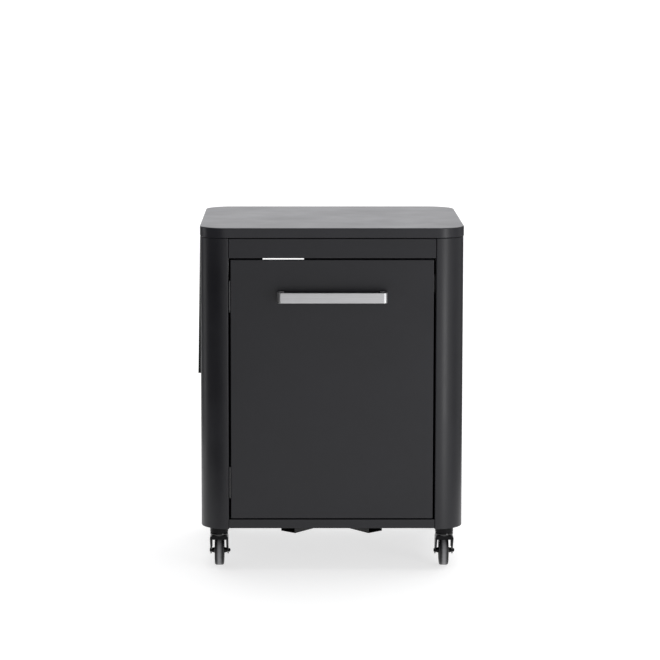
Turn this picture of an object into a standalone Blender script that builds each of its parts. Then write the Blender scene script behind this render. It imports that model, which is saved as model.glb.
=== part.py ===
"""Outdoor kitchen table: a powder-coated steel cabinet on four castors.

It has a door hinged on the left, a flat worktop, a drop-down shelf with a wire prop
on its left side, and a hose port in its back. Metres, +Z up, front towards -Y.
"""
import math

import bmesh
import bpy
from mathutils import Matrix, Vector

# Whole table
WIDTH = 0.650
DEPTH = 0.560
HEIGHT = 0.850
SEAT_GAP = 0.0003          # clearance between pieces that touch
RUNNING_GAP = 0.00008      # radial clearance of a shaft that turns in its bore

# Worktop
TOP_SHEET = 0.0015
TOP_SKIRT = 0.024
TOP_CORNER = 0.0675        # corner radius in plan
TOP_EDGE = 0.002           # rounding of the upper edge
TOP_OVERHANG = 0.0012      # worktop beyond the cabinet, all round
SHADOW_GAP = 0.0017        # dark line between the worktop and the cabinet
STIFFENER_WIDTH = 0.060
STIFFENER_DEPTH = 0.016
STIFFENER_FLANGE = 0.015
STIFFENER_SPACING = 0.280

# Cabinet body
BODY_SHEET = 0.0012
COLUMN_FLAT = 0.004        # flat between a column's curve and its flange
COLUMN_FOLD = 0.0028       # outer radius of the fold between them
JAMB_DEPTH = 0.025         # inward flange of the front columns
BACK_FLANGE = 0.020        # inward flange of the rear columns
COLUMN_DROP = 0.0027       # side panels below the floor sheet
FASCIA_HEIGHT = 0.0483
FASCIA_DEPTH = 0.020
FLOOR_LIP = 0.0217         # front edge of the floor tray, folded up
FLOOR_SIDE_FLANGE = 0.020
RAIL_SHEET = 0.0015
RAIL_LEG = 0.030
RAIL_DROP = 0.034          # how far a top rail reaches down the side panel
BACK_DEPTH = 0.015
PORT_WIDTH = 0.110         # hose port in the rear panel
PORT_HEIGHT = 0.060
PORT_CORNER = 0.012
PORT_OFFSET = 0.123        # port's centre, left of the middle
PORT_DROP = 0.115          # port's centre, below the top of the rear panel
BEND_STEPS = 6             # facets in a quarter bend
BEND_MIDDLE = 1 - math.sqrt(0.5)   # inset of a rounded edge's middle, for a radius of one

# Brace under the floor
BRACE_SHEET = 0.0015
BRACE_WIDTH = 0.045
BRACE_DEPTH = 0.0165
BRACE_REACH = 0.108        # middle of an arm's end, from the centre line
BRACE_END = 0.0335         # middle of an arm's front end, behind the front
BRACE_ANGLE = math.radians(50)

# Door
DOOR_GAP_SIDE = 0.005
DOOR_GAP_TOP = 0.0038
DOOR_GAP_BOTTOM = 0.003
DOOR_SHEET = 0.0012
DOOR_DEPTH = 0.010
DOOR_LIP = 0.012
DOOR_EDGE = 0.0008
DOOR_STIFFENER_HEIGHT = 0.040
DOOR_STIFFENER_FLANGE = 0.008
BUMPER_RADIUS = 0.004
BUMPER_MARGIN = 0.003      # lip's return behind the rubber stops

# Handle
HANDLE_LENGTH = 0.269
HANDLE_HEIGHT = 0.027
HANDLE_BAR = 0.004
HANDLE_REACH = 0.035       # bar's face in front of the door
HANDLE_BEND = 0.0095       # outer radius of the front bends
HANDLE_FOOT_BEND = 0.0064  # outer radius of the bends at the door
HANDLE_FOOT = 0.017
HANDLE_DROP = 0.091        # handle's centre, below the top of the door

# Door hinges
HINGE_LENGTH = 0.076
HINGE_KNUCKLE = 0.0022     # outer radius of the knuckles
HINGE_PIN = 0.0012
HINGE_LEAF = 0.001
HINGE_FRAME_WIDTH = 0.020
HINGE_DOOR_WIDTH = 0.008
HINGE_END = 0.052          # hinge to the near end of the door
HINGE_BACKSET = 0.001      # pin behind the cabinet's front plane
HINGE_HEAD = 0.0019

# Magnetic catch
CATCH_LENGTH = 0.045
CATCH_DEPTH = 0.012
CATCH_WIDTH = 0.014
CATCH_WALL = 0.002
CATCH_DROP = 0.060         # catch's centre, below the top of the door
STRIKE_SHEET = 0.001
STRIKE_WIDTH = 0.010
MAGNET_WIDTH = 0.008

# Drop-down shelf
SHELF_LENGTH = 0.260       # front to back
SHELF_REACH = 0.347        # hinge pin to the free edge
SHELF_SHEET = 0.001
SHELF_TILT = math.radians(0.93)
SHELF_DROP = 0.0083        # hinge pin below the top of the side panel
SHELF_KNUCKLE = 0.0019
SHELF_PIN = 0.001
SHELF_HINGE_LENGTH = 0.060
SHELF_HINGE_SPACING = 0.170
SHELF_WALL_LEAF = 0.014
SHELF_EDGE_GAP = 0.003     # sheet's hinge edge below the pin
SKIRT_START = 0.016        # side skirts begin this far from the pin
SKIRT_CLEARANCE = 0.0012   # skirts to the side panel, shelf hanging
SHELF_BUMPER_RADIUS = 0.003
SHELF_BUMPER_INSET = 0.020

# Wire prop under the shelf
PROP_WIRE = 0.0016         # radius
PROP_SPAN = 0.200          # between the legs
PROP_PIVOT = 0.135         # prop's pivot from the shelf's pin
PROP_EAR = 0.012           # wire ends turned outwards
PROP_BEND = 0.005
PROP_RATIO = 1.5           # prop's turn for each degree of the shelf's
SADDLE_SHEET = 0.0006
SADDLE_WIDTH = 0.006
SADDLE_FOOT = 0.005
PROP_REST_SHEET = 0.0015
PROP_REST_HEIGHT = 0.008
PROP_REST_DROP = 0.0040    # rest below the prop's foot, shelf lifted to its limit

# Castors
CASTOR_HEIGHT = 0.105
CASTOR_INSET_X = 0.046     # swivel axis from the worktop's side
CASTOR_INSET_Y = 0.033     # swivel axis from the cabinet's front or back
CASTOR_TRAIL = 0.025       # axle from the swivel axis
WHEEL_RADIUS = 0.0375
WHEEL_WIDTH = 0.023
WHEEL_STEPS = 32           # facets round the tyre
BEARING_STEPS = 20         # facets round the swivel and the wheel's centre
PIN_STEPS = 12             # facets round hinge knuckles and pins
TYRE_DEPTH = 0.0095
TREAD_WIDTH = 0.006        # flat in the middle of the tread
SHOULDER_WIDTH = 0.0166    # across the middle of the rounded shoulders
SHOULDER_DEPTH = 0.0013
SIDE_DEPTH = 0.0048        # flat sides begin this far below the tread
RIM_WIDTH = 0.020
RIM_DEPTH = 0.004
WEB_THICKNESS = 0.005
HUB_RADIUS = 0.009
HUB_END = 0.0055           # hub's radius at the fork
AXLE_RADIUS = 0.003
AXLE_HEAD = 0.0054
AXLE_HEAD_HEIGHT = 0.0018
AXLE_NUT_HEIGHT = 0.0034
AXLE_TAIL = 0.0010
FORK_WIDTH = 0.045
FORK_SHEET = 0.0025
FORK_RIM = 0.005           # edges pressed inwards, measured from the fork's outside
FORK_RIM_END = 0.0095      # they stop this far above the axle
FORK_FRONT = 0.0215
FORK_REAR = 0.020
FORK_END = 0.009           # radius of the fork's ends round the axle
FORK_BEND = 0.006
FORK_SKIRT = 0.007         # front edge of the crown, turned down
CROWN_GAP = 0.0055         # tyre to the underside of the crown
RACE_RADIUS = 0.0212       # ball race raised on the crown
RACE_WALL = 0.0025
CAP_RADIUS = 0.0224        # fixed upper race, a cap over the balls
CAP_LOW = 0.0900           # its lower edge above the floor
CAP_WALL = 0.0024
BOSS_RADIUS = 0.012        # cap's middle, pressed down round the bolt
FLANGE_RADIUS = 0.024
FLANGE_SHEET = 0.0025
BOLT_RADIUS = 0.005        # bolt that the castor swivels on and hangs from
BOLT_HEAD = 0.0085
BOLT_HEAD_FLAT = 0.0065    # radius of the flat on the head
BOLT_HEAD_HEIGHT = 0.0025
BOLT_NUT = 0.0095
BOLT_NUT_HEIGHT = 0.008
BOLT_TAIL = 0.003

# Places that follow from the sizes
AXLE_HEIGHT = WHEEL_RADIUS * math.cos(math.pi / WHEEL_STEPS)
FLOOR_LOW = CASTOR_HEIGHT + SEAT_GAP
FLOOR_HIGH = FLOOR_LOW + BODY_SHEET
BODY_TOP = HEIGHT - TOP_SKIRT - SHADOW_GAP
BODY_BOTTOM = FLOOR_LOW - COLUMN_DROP
BODY_X = WIDTH / 2 - TOP_OVERHANG
BODY_Y = DEPTH / 2 - TOP_OVERHANG
COLUMN_RADIUS = TOP_CORNER - TOP_OVERHANG
OPENING_X = BODY_X - COLUMN_RADIUS - COLUMN_FLAT
FASCIA_LOW = BODY_TOP - FASCIA_HEIGHT
LIP_TOP = FLOOR_LOW + FLOOR_LIP
LIP_RETURN = DOOR_DEPTH + SEAT_GAP + 2 * BUMPER_RADIUS + BUMPER_MARGIN
DOOR_WIDTH = 2 * (OPENING_X - DOOR_GAP_SIDE)
DOOR_TOP = FASCIA_LOW - DOOR_GAP_TOP
DOOR_BOTTOM = LIP_TOP + DOOR_GAP_BOTTOM
DOOR_HEIGHT = DOOR_TOP - DOOR_BOTTOM
DOOR_AXIS = Vector((-OPENING_X + DOOR_GAP_SIDE / 2, -BODY_Y + HINGE_BACKSET, 0.0))
SHELF_AXIS = Vector((-BODY_X - SHELF_KNUCKLE - SEAT_GAP, 0.0, BODY_TOP - SHELF_DROP))
SHELF_FACE = -SHELF_KNUCKLE
SHELF_INNER = SHELF_FACE + SHELF_SHEET
PROP_X = SHELF_INNER + SEAT_GAP + PROP_WIRE
OPEN_ANGLE = math.pi / 2 - SHELF_TILT
PROP_LEAN = PROP_RATIO * OPEN_ANGLE - math.pi / 2
FOOT_X = SHELF_KNUCKLE - PROP_WIRE
PROP_LENGTH = (PROP_PIVOT + FOOT_X) / math.sin(PROP_LEAN)
FOOT_Z = -PROP_X - PROP_LENGTH * math.cos(PROP_LEAN)
CROWN_LOW = AXLE_HEIGHT + WHEEL_RADIUS + CROWN_GAP
CROWN_HIGH = CROWN_LOW + FORK_SHEET
FLANGE_LOW = CASTOR_HEIGHT - FLANGE_SHEET
CASTOR_X = WIDTH / 2 - CASTOR_INSET_X
CASTOR_Y = BODY_Y - CASTOR_INSET_Y

# The table's middle at floor level is the origin: shelf and handle stick out of the cabinet
SHELF_OUT = SHELF_KNUCKLE * math.cos(SHELF_TILT) + SHELF_REACH * math.sin(SHELF_TILT)
LEFT_REACH = -SHELF_AXIS.x + SHELF_OUT
FRONT_REACH = BODY_Y + HANDLE_REACH
CABINET_X = (LEFT_REACH - WIDTH / 2) / 2
CABINET_Y = (FRONT_REACH - DEPTH / 2) / 2


def clear_scene():
    for item in list(bpy.data.objects):
        bpy.data.objects.remove(item, do_unlink=True)


def linear(channel):
    """One sRGB channel, 0 to 1, as linear light."""
    if channel <= 0.04045:
        return channel / 12.92
    return ((channel + 0.055) / 1.055) ** 2.4


def make_material(name, colour, roughness, metallic):
    material = bpy.data.materials.new(name)
    material.use_nodes = True
    shader = material.node_tree.nodes["Principled BSDF"]
    channels = [linear(int(colour[i:i + 2], 16) / 255) for i in (0, 2, 4)]
    shader.inputs["Base Color"].default_value = (*channels, 1.0)
    shader.inputs["Roughness"].default_value = roughness
    shader.inputs["Metallic"].default_value = metallic
    return material


def make_empty(name, location, parent=None, turn=(0.0, 0.0, 0.0)):
    empty = bpy.data.objects.new(name, None)
    bpy.context.scene.collection.objects.link(empty)
    empty.parent = parent
    empty.location = location
    empty.rotation_euler = turn
    return empty


def place(name, solid, look, parent, location=(0.0, 0.0, 0.0), smooth=False):
    """Object of one solid, which is a bmesh or a mesh that its twins share with their finish."""
    if isinstance(solid, bmesh.types.BMesh):
        mesh = bpy.data.meshes.new(name)
        solid.to_mesh(mesh)
        solid.free()
    else:
        mesh = solid
    if smooth:
        mesh.shade_smooth()
        mesh.set_sharp_from_angle(angle=math.radians(35))
    obj = bpy.data.objects.new(name, mesh)
    bpy.context.scene.collection.objects.link(obj)
    if not mesh.materials:
        mesh.materials.append(make_material(name, *look))
    obj.parent = parent
    obj.location = location
    return obj


# Solids from outlines

def arc(centre, radius, start, end, steps):
    """Points round a centre from one angle to another, in degrees."""
    points = []
    for i in range(steps + 1):
        angle = math.radians(start + (end - start) * i / steps)
        points.append((centre[0] + radius * math.cos(angle), centre[1] + radius * math.sin(angle)))
    return points


def rectangle(half_x, half_y, corner=0.0):
    """Outline of a rectangle about the origin, with rounded or square corners."""
    if corner <= 0.0:
        return [(half_x, half_y), (-half_x, half_y), (-half_x, -half_y), (half_x, -half_y)]
    points = []
    for quarter, (x, y) in enumerate(((1, 1), (-1, 1), (-1, -1), (1, -1))):
        centre = (x * (half_x - corner), y * (half_y - corner))
        points += arc(centre, corner, 90 * quarter, 90 * quarter + 90, BEND_STEPS)
    return points


def box_outline(low, high):
    return [(low[0], low[1]), (high[0], low[1]), (high[0], high[1]), (low[0], high[1])]


def folded(path, sheet):
    """Closed outline of a bent sheet whose one face follows the path and the other lies to its left."""
    inner = []
    for i, point in enumerate(path):
        here = Vector(point)
        before = (here - Vector(path[i - 1])).normalized() if i else None
        after = (Vector(path[i + 1]) - here).normalized() if i < len(path) - 1 else None
        before = before or after
        after = after or before
        side_a = Vector((-before.y, before.x))
        side_b = Vector((-after.y, after.x))
        middle = (side_a + side_b).normalized()
        inner.append(tuple(here + middle * (sheet / middle.dot(side_a))))
    return list(path) + inner[::-1]


def lift(point, height, axis):
    """Point of a flat outline, set at a height along the axis that the outline faces."""
    a, b = point
    if axis == "Z":
        return Vector((a, b, height))
    if axis == "Y":
        return Vector((a, height, b))
    return Vector((height, a, b))


def prism(outline, low, high, axis="Z"):
    """Solid between two heights with an outline in XY, in XZ for axis Y, or in YZ for axis X."""
    solid = bmesh.new()
    corners = [solid.verts.new(lift(point, low, axis)) for point in outline]
    face = solid.faces.new(corners)
    grown = bmesh.ops.extrude_face_region(solid, geom=[face])
    moved = [part for part in grown["geom"] if isinstance(part, bmesh.types.BMVert)]
    bmesh.ops.translate(solid, verts=moved, vec=lift((0.0, 0.0), high - low, axis))
    bmesh.ops.recalc_face_normals(solid, faces=solid.faces)
    return solid


def box(low, high):
    """Block between two corners."""
    return prism(box_outline(low, high), low[2], high[2])


def turned(profile, steps, axis="Z", centre=(0.0, 0.0, 0.0)):
    """Solid of revolution. The closed profile holds (radius, height) points, clear of the axis or on it."""
    solid = bmesh.new()
    corners = [solid.verts.new((radius, 0.0, height)) for radius, height in profile]
    edges = [solid.edges.new((corners[i - 1], corners[i])) for i in range(len(corners))]
    first = Matrix.Rotation(math.pi / steps, 3, "Z")
    bmesh.ops.rotate(solid, verts=solid.verts, cent=(0, 0, 0), matrix=first)
    bmesh.ops.spin(solid, geom=corners + edges, cent=(0, 0, 0), axis=(0, 0, 1),
                   angle=2 * math.pi, steps=steps, use_merge=True)
    bmesh.ops.remove_doubles(solid, verts=solid.verts, dist=1e-7)
    loose = [edge for edge in solid.edges if not edge.link_faces]
    bmesh.ops.delete(solid, geom=loose, context="EDGES")
    turn = Matrix.Identity(3)
    if axis == "X":
        turn = Matrix.Rotation(math.pi / 2, 3, "Y")
    if axis == "Y":
        turn = Matrix.Rotation(-math.pi / 2, 3, "X")
    bmesh.ops.transform(solid, verts=solid.verts, matrix=Matrix.Translation(centre) @ turn.to_4x4())
    bmesh.ops.recalc_face_normals(solid, faces=solid.faces)
    return solid


def rod(radius, low, high, steps, axis="Z", centre=(0.0, 0.0, 0.0)):
    return turned([(0.0, low), (radius, low), (radius, high), (0.0, high)], steps, axis, centre)


def tube(inner, outer, low, high, steps, axis="Z", centre=(0.0, 0.0, 0.0)):
    profile = [(inner, low), (outer, low), (outer, high), (inner, high)]
    return turned(profile, steps, axis, centre)


def pan(width, height, depth, sheet, edge, corner=0.0, lip=0.0):
    """Folded tray. Its face lies at z = 0 and its sides run to z = depth, with a lip turned in."""
    levels = [(edge, 0.0), (edge * BEND_MIDDLE, edge * BEND_MIDDLE), (0.0, edge), (0.0, depth)]
    if lip:
        levels += [(lip, depth), (lip, depth - sheet), (sheet, depth - sheet)]
    else:
        levels += [(sheet, depth)]
    levels += [(sheet, sheet)]
    solid = bmesh.new()
    loops = []
    for inset, z in levels:
        outline = rectangle(width / 2 - inset, height / 2 - inset, max(corner - inset, 0.0))
        loops.append([solid.verts.new((x, y, z)) for x, y in outline])
    for below, above in zip(loops, loops[1:]):
        for i in range(len(below)):
            solid.faces.new((below[i - 1], below[i], above[i], above[i - 1]))
    solid.faces.new(loops[0])
    solid.faces.new(loops[-1])
    bmesh.ops.recalc_face_normals(solid, faces=solid.faces)
    return solid


def turned_about(solid, angle, axis, offset=(0.0, 0.0, 0.0)):
    """The same solid, turned about an axis through the origin and then moved."""
    matrix = Matrix.Translation(offset) @ Matrix.Rotation(angle, 4, axis)
    bmesh.ops.transform(solid, verts=solid.verts, matrix=matrix)
    return solid


def shaped(name, base, joined=(), cut=(), kept=(), added=()):
    """Mesh of a solid trimmed to some solids, welded to others, with holes cut, and with more added last."""
    def scratch(solid):
        mesh = bpy.data.meshes.new(name)
        solid.to_mesh(mesh)
        solid.free()
        obj = bpy.data.objects.new(name + "_tool", mesh)
        bpy.context.scene.collection.objects.link(obj)
        obj.hide_render = True
        obj.display_type = "WIRE"
        return obj

    body = scratch(base)
    tools = []
    for solids, operation in ((kept, "INTERSECT"), (joined, "UNION"), (cut, "DIFFERENCE"), (added, "UNION")):
        for solid in solids:
            tool = scratch(solid)
            step = body.modifiers.new(operation, "BOOLEAN")
            step.operation = operation
            step.solver = "EXACT"
            step.object = tool
            tools.append(tool)
    graph = bpy.context.evaluated_depsgraph_get()
    mesh = bpy.data.meshes.new_from_object(body.evaluated_get(graph))
    mesh.name = name
    for obj in [body] + tools:
        bpy.data.objects.remove(obj, do_unlink=True)
    return mesh


# Looks: colour, roughness, metallic
COATED_STEEL = ("2d2d2f", 0.50, 0.0)
COATED_INSIDE = ("29292b", 0.60, 0.0)
COATED_TOP = ("333335", 0.45, 0.0)
BRUSHED_STEEL = ("b9b9ba", 0.30, 1.0)
ZINC_STEEL = ("a5a7aa", 0.35, 1.0)
BLACK_STEEL = ("1b1b1d", 0.40, 0.0)
BLACK_PLASTIC = ("202022", 0.50, 0.0)
GREY_RUBBER = ("4a4a4b", 0.70, 0.0)
MAGNET_GREY = ("5a5a5c", 0.55, 0.0)


def build_worktop(cabinet):
    top = pan(WIDTH, DEPTH, TOP_SKIRT, TOP_SHEET, TOP_EDGE, TOP_CORNER)
    top = turned_about(top, math.pi, "X", (0.0, 0.0, HEIGHT))
    place("worktop", top, COATED_TOP, cabinet)
    under = HEIGHT - TOP_SHEET - SEAT_GAP
    half = STIFFENER_WIDTH / 2
    web = half - STIFFENER_FLANGE
    hat = folded([(-half, under), (-web, under), (-web, under - STIFFENER_DEPTH),
                  (web, under - STIFFENER_DEPTH), (web, under), (half, under)], -TOP_SHEET)
    reach = BODY_X - BODY_SHEET - 2 * SEAT_GAP - RAIL_LEG - SEAT_GAP
    for side, name in ((-1, "worktop_stiffener_front"), (1, "worktop_stiffener_rear")):
        channel = prism(hat, -reach, reach, "X")
        place(name, channel, COATED_INSIDE, cabinet, (0.0, side * STIFFENER_SPACING / 2, 0.0))


def side_outline():
    """Plan of the right side panel: front flange, round front column, side, round rear column, flange."""
    corner_x = BODY_X - COLUMN_RADIUS
    corner_y = BODY_Y - COLUMN_RADIUS
    fold_x = OPENING_X + COLUMN_FOLD
    fold_y = BODY_Y - COLUMN_FOLD
    path = [(OPENING_X, -BODY_Y + JAMB_DEPTH)]
    path += arc((fold_x, -fold_y), COLUMN_FOLD, 180, 270, BEND_STEPS // 2)
    path += arc((corner_x, -corner_y), COLUMN_RADIUS, -90, 0, BEND_STEPS * 2)
    path += arc((corner_x, corner_y), COLUMN_RADIUS, 0, 90, BEND_STEPS * 2)
    path += arc((fold_x, fold_y), COLUMN_FOLD, 90, 180, BEND_STEPS // 2)
    path += [(OPENING_X, BODY_Y - BACK_FLANGE)]
    return folded(path, BODY_SHEET)


def build_sides(cabinet):
    right = side_outline()
    left = [(-x, y) for x, y in right]
    for name, outline in (("side_panel_left", left), ("side_panel_right", right)):
        place(name, prism(outline, BODY_BOTTOM, BODY_TOP), COATED_STEEL, cabinet)
    wall = BODY_X - BODY_SHEET - SEAT_GAP
    high = HEIGHT - TOP_SHEET - SEAT_GAP
    straight = BODY_Y - COLUMN_RADIUS
    angle = folded([(wall, BODY_TOP - RAIL_DROP), (wall, high), (wall - RAIL_LEG, high)], RAIL_SHEET)
    for side, name in ((-1, "top_rail_left"), (1, "top_rail_right")):
        section = [(side * x, z) for x, z in angle]
        place(name, prism(section, -straight, straight, "Y"), COATED_INSIDE, cabinet)


def build_front_and_back(cabinet):
    width = 2 * (OPENING_X - SEAT_GAP)
    fascia = pan(width, FASCIA_HEIGHT, FASCIA_DEPTH, BODY_SHEET, DOOR_EDGE)
    middle = (BODY_TOP + FASCIA_LOW) / 2
    turned_about(fascia, -math.pi / 2, "X", (0.0, -BODY_Y, middle))
    place("front_fascia", fascia, COATED_STEEL, cabinet)
    low = FLOOR_HIGH + SEAT_GAP
    back = pan(width, BODY_TOP - low, BACK_DEPTH, BODY_SHEET, DOOR_EDGE)
    turned_about(back, math.pi / 2, "X", (0.0, BODY_Y, (BODY_TOP + low) / 2))
    port = [(x - PORT_OFFSET, z + BODY_TOP - PORT_DROP)
            for x, z in rectangle(PORT_WIDTH / 2, PORT_HEIGHT / 2, PORT_CORNER)]
    hole = prism(port, BODY_Y - BACK_DEPTH / 2, BODY_Y + BACK_DEPTH, "Y")
    place("rear_panel", shaped("rear_panel", back, cut=[hole]), COATED_STEEL, cabinet)


def floor_plan():
    """Corners of the floor sheet: it fills the cabinet and steps in between the columns' flanges."""
    wall = BODY_X - BODY_SHEET - SEAT_GAP
    corner = COLUMN_RADIUS - BODY_SHEET - SEAT_GAP
    tongue = OPENING_X - SEAT_GAP
    centre = (wall - corner, BODY_Y - COLUMN_RADIUS)
    plan = []
    for side, flange, reach in ((1, BACK_FLANGE, BODY_Y), (-1, JAMB_DEPTH, BODY_Y)):
        shoulder = BODY_Y - flange - SEAT_GAP
        rise = math.degrees(math.asin((shoulder - centre[1]) / corner))
        quarter = arc(centre, corner, 0, rise, BEND_STEPS)
        points = quarter + [(tongue, shoulder), (tongue, reach)]
        points += [(-x, y) for x, y in reversed(points)]
        plan += [(side * x, side * y) for x, y in points]
    return plan


def build_floor(cabinet):
    sheet = prism(floor_plan(), FLOOR_LOW, FLOOR_HIGH)
    tongue = OPENING_X - SEAT_GAP
    front = folded([(-BODY_Y + LIP_RETURN, LIP_TOP), (-BODY_Y, LIP_TOP), (-BODY_Y, FLOOR_LOW),
                    (-BODY_Y + LIP_RETURN, FLOOR_LOW)], BODY_SHEET)
    lips = [prism(front, -tongue, tongue, "X")]
    wall = BODY_X - BODY_SHEET - SEAT_GAP
    straight = BODY_Y - COLUMN_RADIUS
    for side in (-1, 1):
        flange = folded([(side * (wall - FLOOR_SIDE_FLANGE), FLOOR_LOW), (side * wall, FLOOR_LOW),
                         (side * wall, FLOOR_LOW + FLOOR_SIDE_FLANGE)], side * BODY_SHEET)
        lips.append(prism(flange, -straight, straight, "Y"))
    holes = []
    for x in (-CASTOR_X, CASTOR_X):
        for y in (-CASTOR_Y, CASTOR_Y):
            holes.append(rod(BOLT_RADIUS + SEAT_GAP, CASTOR_HEIGHT, FLOOR_HIGH + BODY_SHEET,
                             PIN_STEPS, centre=(x, y, 0.0)))
    place("floor_tray", shaped("floor_tray", sheet, joined=lips, cut=holes), COATED_STEEL, cabinet)


def build_brace(cabinet):
    """Two channels that cross under the floor, open upwards and at their ends."""
    half = BRACE_WIDTH / 2
    high = FLOOR_LOW - SEAT_GAP
    low = high - BRACE_DEPTH
    section = folded([(-half, high), (-half, low), (half, low), (half, high)], BRACE_SHEET)
    arm = BRACE_REACH / math.cos(BRACE_ANGLE)
    centre_y = -BODY_Y + BRACE_END + BRACE_REACH * math.tan(BRACE_ANGLE)
    arms = []
    for side in (-1, 1):
        channel = prism(section, -arm, arm, "X")
        arms.append(turned_about(channel, side * BRACE_ANGLE, "Z", (0.0, centre_y, 0.0)))
    place("floor_brace", shaped("floor_brace", arms[0], joined=[arms[1]]), COATED_STEEL, cabinet)


def hinge_leaf(name, length, knuckle, pin, leaf, width, own, side):
    """Hinge leaf about a vertical pin at the origin. Its plate runs towards +Y, on the side given.

    own lists the stretches of the length that hold this leaf's knuckles.
    """
    bore = pin + RUNNING_GAP
    start = knuckle + SEAT_GAP
    near = sorted((side * knuckle, side * (knuckle - leaf)))
    plate = prism(box_outline((near[0], start), (near[1], width)), 0.0, length)
    curls = []
    for low, high in own:
        curls.append(tube(bore, knuckle, low, high, PIN_STEPS))
        curls.append(prism(box_outline((near[0], pin / 2), (near[1], start + leaf)), low, high))
    return shaped(name, plate, joined=curls)


def build_door_hinges(cabinet, door):
    third = HINGE_LENGTH / 3
    slack = SEAT_GAP / 2
    ends = [(0.0, third - slack), (2 * third + slack, HINGE_LENGTH)]
    middle = [(third + slack, 2 * third - slack)]
    sizes = (HINGE_LENGTH, HINGE_KNUCKLE, HINGE_PIN, HINGE_LEAF)
    frame_leaf = hinge_leaf("hinge_frame_leaf", *sizes, HINGE_FRAME_WIDTH, ends, -1)
    door_leaf = hinge_leaf("hinge_door_leaf", *sizes, HINGE_DOOR_WIDTH, middle, 1)
    pin = turned([(0.0, -SEAT_GAP - HINGE_HEAD / 2), (HINGE_HEAD, -SEAT_GAP - HINGE_HEAD / 2),
                  (HINGE_HEAD, -SEAT_GAP), (HINGE_PIN, -SEAT_GAP), (HINGE_PIN, HINGE_LENGTH),
                  (0.0, HINGE_LENGTH)], PIN_STEPS)
    pin_mesh = shaped("hinge_pin", pin)
    for name, low in (("lower", DOOR_BOTTOM + HINGE_END), ("upper", DOOR_TOP - HINGE_END - HINGE_LENGTH)):
        foot = DOOR_AXIS + Vector((0.0, 0.0, low))
        place("hinge_frame_leaf_" + name, frame_leaf, BLACK_STEEL, cabinet, foot)
        place("hinge_pin_" + name, pin_mesh, BLACK_STEEL, cabinet, foot)
        place("hinge_door_leaf_" + name, door_leaf, BLACK_STEEL, door, (0.0, 0.0, low))


def build_door(door):
    """The door's own origin is on its hinge axis, at floor level."""
    x = -DOOR_AXIS.x
    front = -BODY_Y - DOOR_AXIS.y
    middle = (DOOR_TOP + DOOR_BOTTOM) / 2
    skin = pan(DOOR_WIDTH, DOOR_HEIGHT, DOOR_DEPTH, DOOR_SHEET, DOOR_EDGE, lip=DOOR_LIP)
    turned_about(skin, -math.pi / 2, "X", (x, front, middle))
    place("door_skin", skin, COATED_STEEL, door)

    inner = front + DOOR_SHEET + SEAT_GAP
    crest = front + DOOR_DEPTH - 2 * DOOR_SHEET - SEAT_GAP
    grip_z = DOOR_TOP - HANDLE_DROP
    half = DOOR_STIFFENER_HEIGHT / 2
    web = half - DOOR_STIFFENER_FLANGE
    hat = folded([(inner, grip_z - half), (inner, grip_z - web), (crest, grip_z - web),
                  (crest, grip_z + web), (inner, grip_z + web), (inner, grip_z + half)], -DOOR_SHEET)
    reach = DOOR_WIDTH / 2 - DOOR_SHEET - SEAT_GAP
    place("door_stiffener", prism(hat, x - reach, x + reach, "X"), COATED_INSIDE, door)

    build_handle(door, x, front, grip_z)
    back = front + DOOR_DEPTH + SEAT_GAP
    catch_z = DOOR_TOP - CATCH_DROP
    edge = x + DOOR_WIDTH / 2
    strike = prism(box_outline((edge - DOOR_SHEET - STRIKE_WIDTH, catch_z - CATCH_LENGTH / 2),
                               (edge - DOOR_SHEET, catch_z + CATCH_LENGTH / 2)),
                   back, back + STRIKE_SHEET, "Y")
    place("strike_plate", strike, ZINC_STEEL, door)


def build_handle(door, x, front, grip_z):
    """Flat bar with its ends bent back to the door and turned inwards to feet."""
    seat = front - SEAT_GAP
    face = front - HANDLE_REACH
    outer = HANDLE_LENGTH / 2
    bend = HANDLE_BEND
    foot_bend = HANDLE_FOOT_BEND
    half = [(outer - HANDLE_FOOT, seat)]
    half += arc((outer - foot_bend, seat - foot_bend), foot_bend, 90, 0, BEND_STEPS // 2)
    half += arc((outer - bend, face + bend), bend, 0, -90, BEND_STEPS)
    path = half + [(-px, py) for px, py in reversed(half)]
    bar = folded([(x + px, py) for px, py in path], -HANDLE_BAR)
    solid = prism(bar, grip_z - HANDLE_HEIGHT / 2, grip_z + HANDLE_HEIGHT / 2)
    place("door_handle", solid, BRUSHED_STEEL, door)


def build_catch(cabinet):
    """Magnetic catch on the right jamb: its case holds the magnet behind the strike plate."""
    edge = OPENING_X - SEAT_GAP
    face = -BODY_Y + DOOR_DEPTH + STRIKE_SHEET + 3 * SEAT_GAP
    middle = DOOR_TOP - CATCH_DROP
    half = CATCH_LENGTH / 2
    case = box((edge - CATCH_WIDTH, face, middle - half), (edge, face + CATCH_DEPTH, middle + half))
    centre = edge - CATCH_WIDTH / 2
    pocket = (centre - MAGNET_WIDTH / 2, face - CATCH_WALL, middle - half + CATCH_WALL)
    pocket_end = (centre + MAGNET_WIDTH / 2, face + CATCH_DEPTH - CATCH_WALL, middle + half - CATCH_WALL)
    place("catch_case", shaped("catch_case", case, cut=[box(pocket, pocket_end)]), BLACK_PLASTIC, cabinet)
    low = Vector(pocket) + Vector((SEAT_GAP, CATCH_WALL, SEAT_GAP))
    magnet = box(low, Vector(pocket_end) - Vector((SEAT_GAP, SEAT_GAP, SEAT_GAP)))
    place("catch_magnet", magnet, MAGNET_GREY, cabinet)


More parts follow.
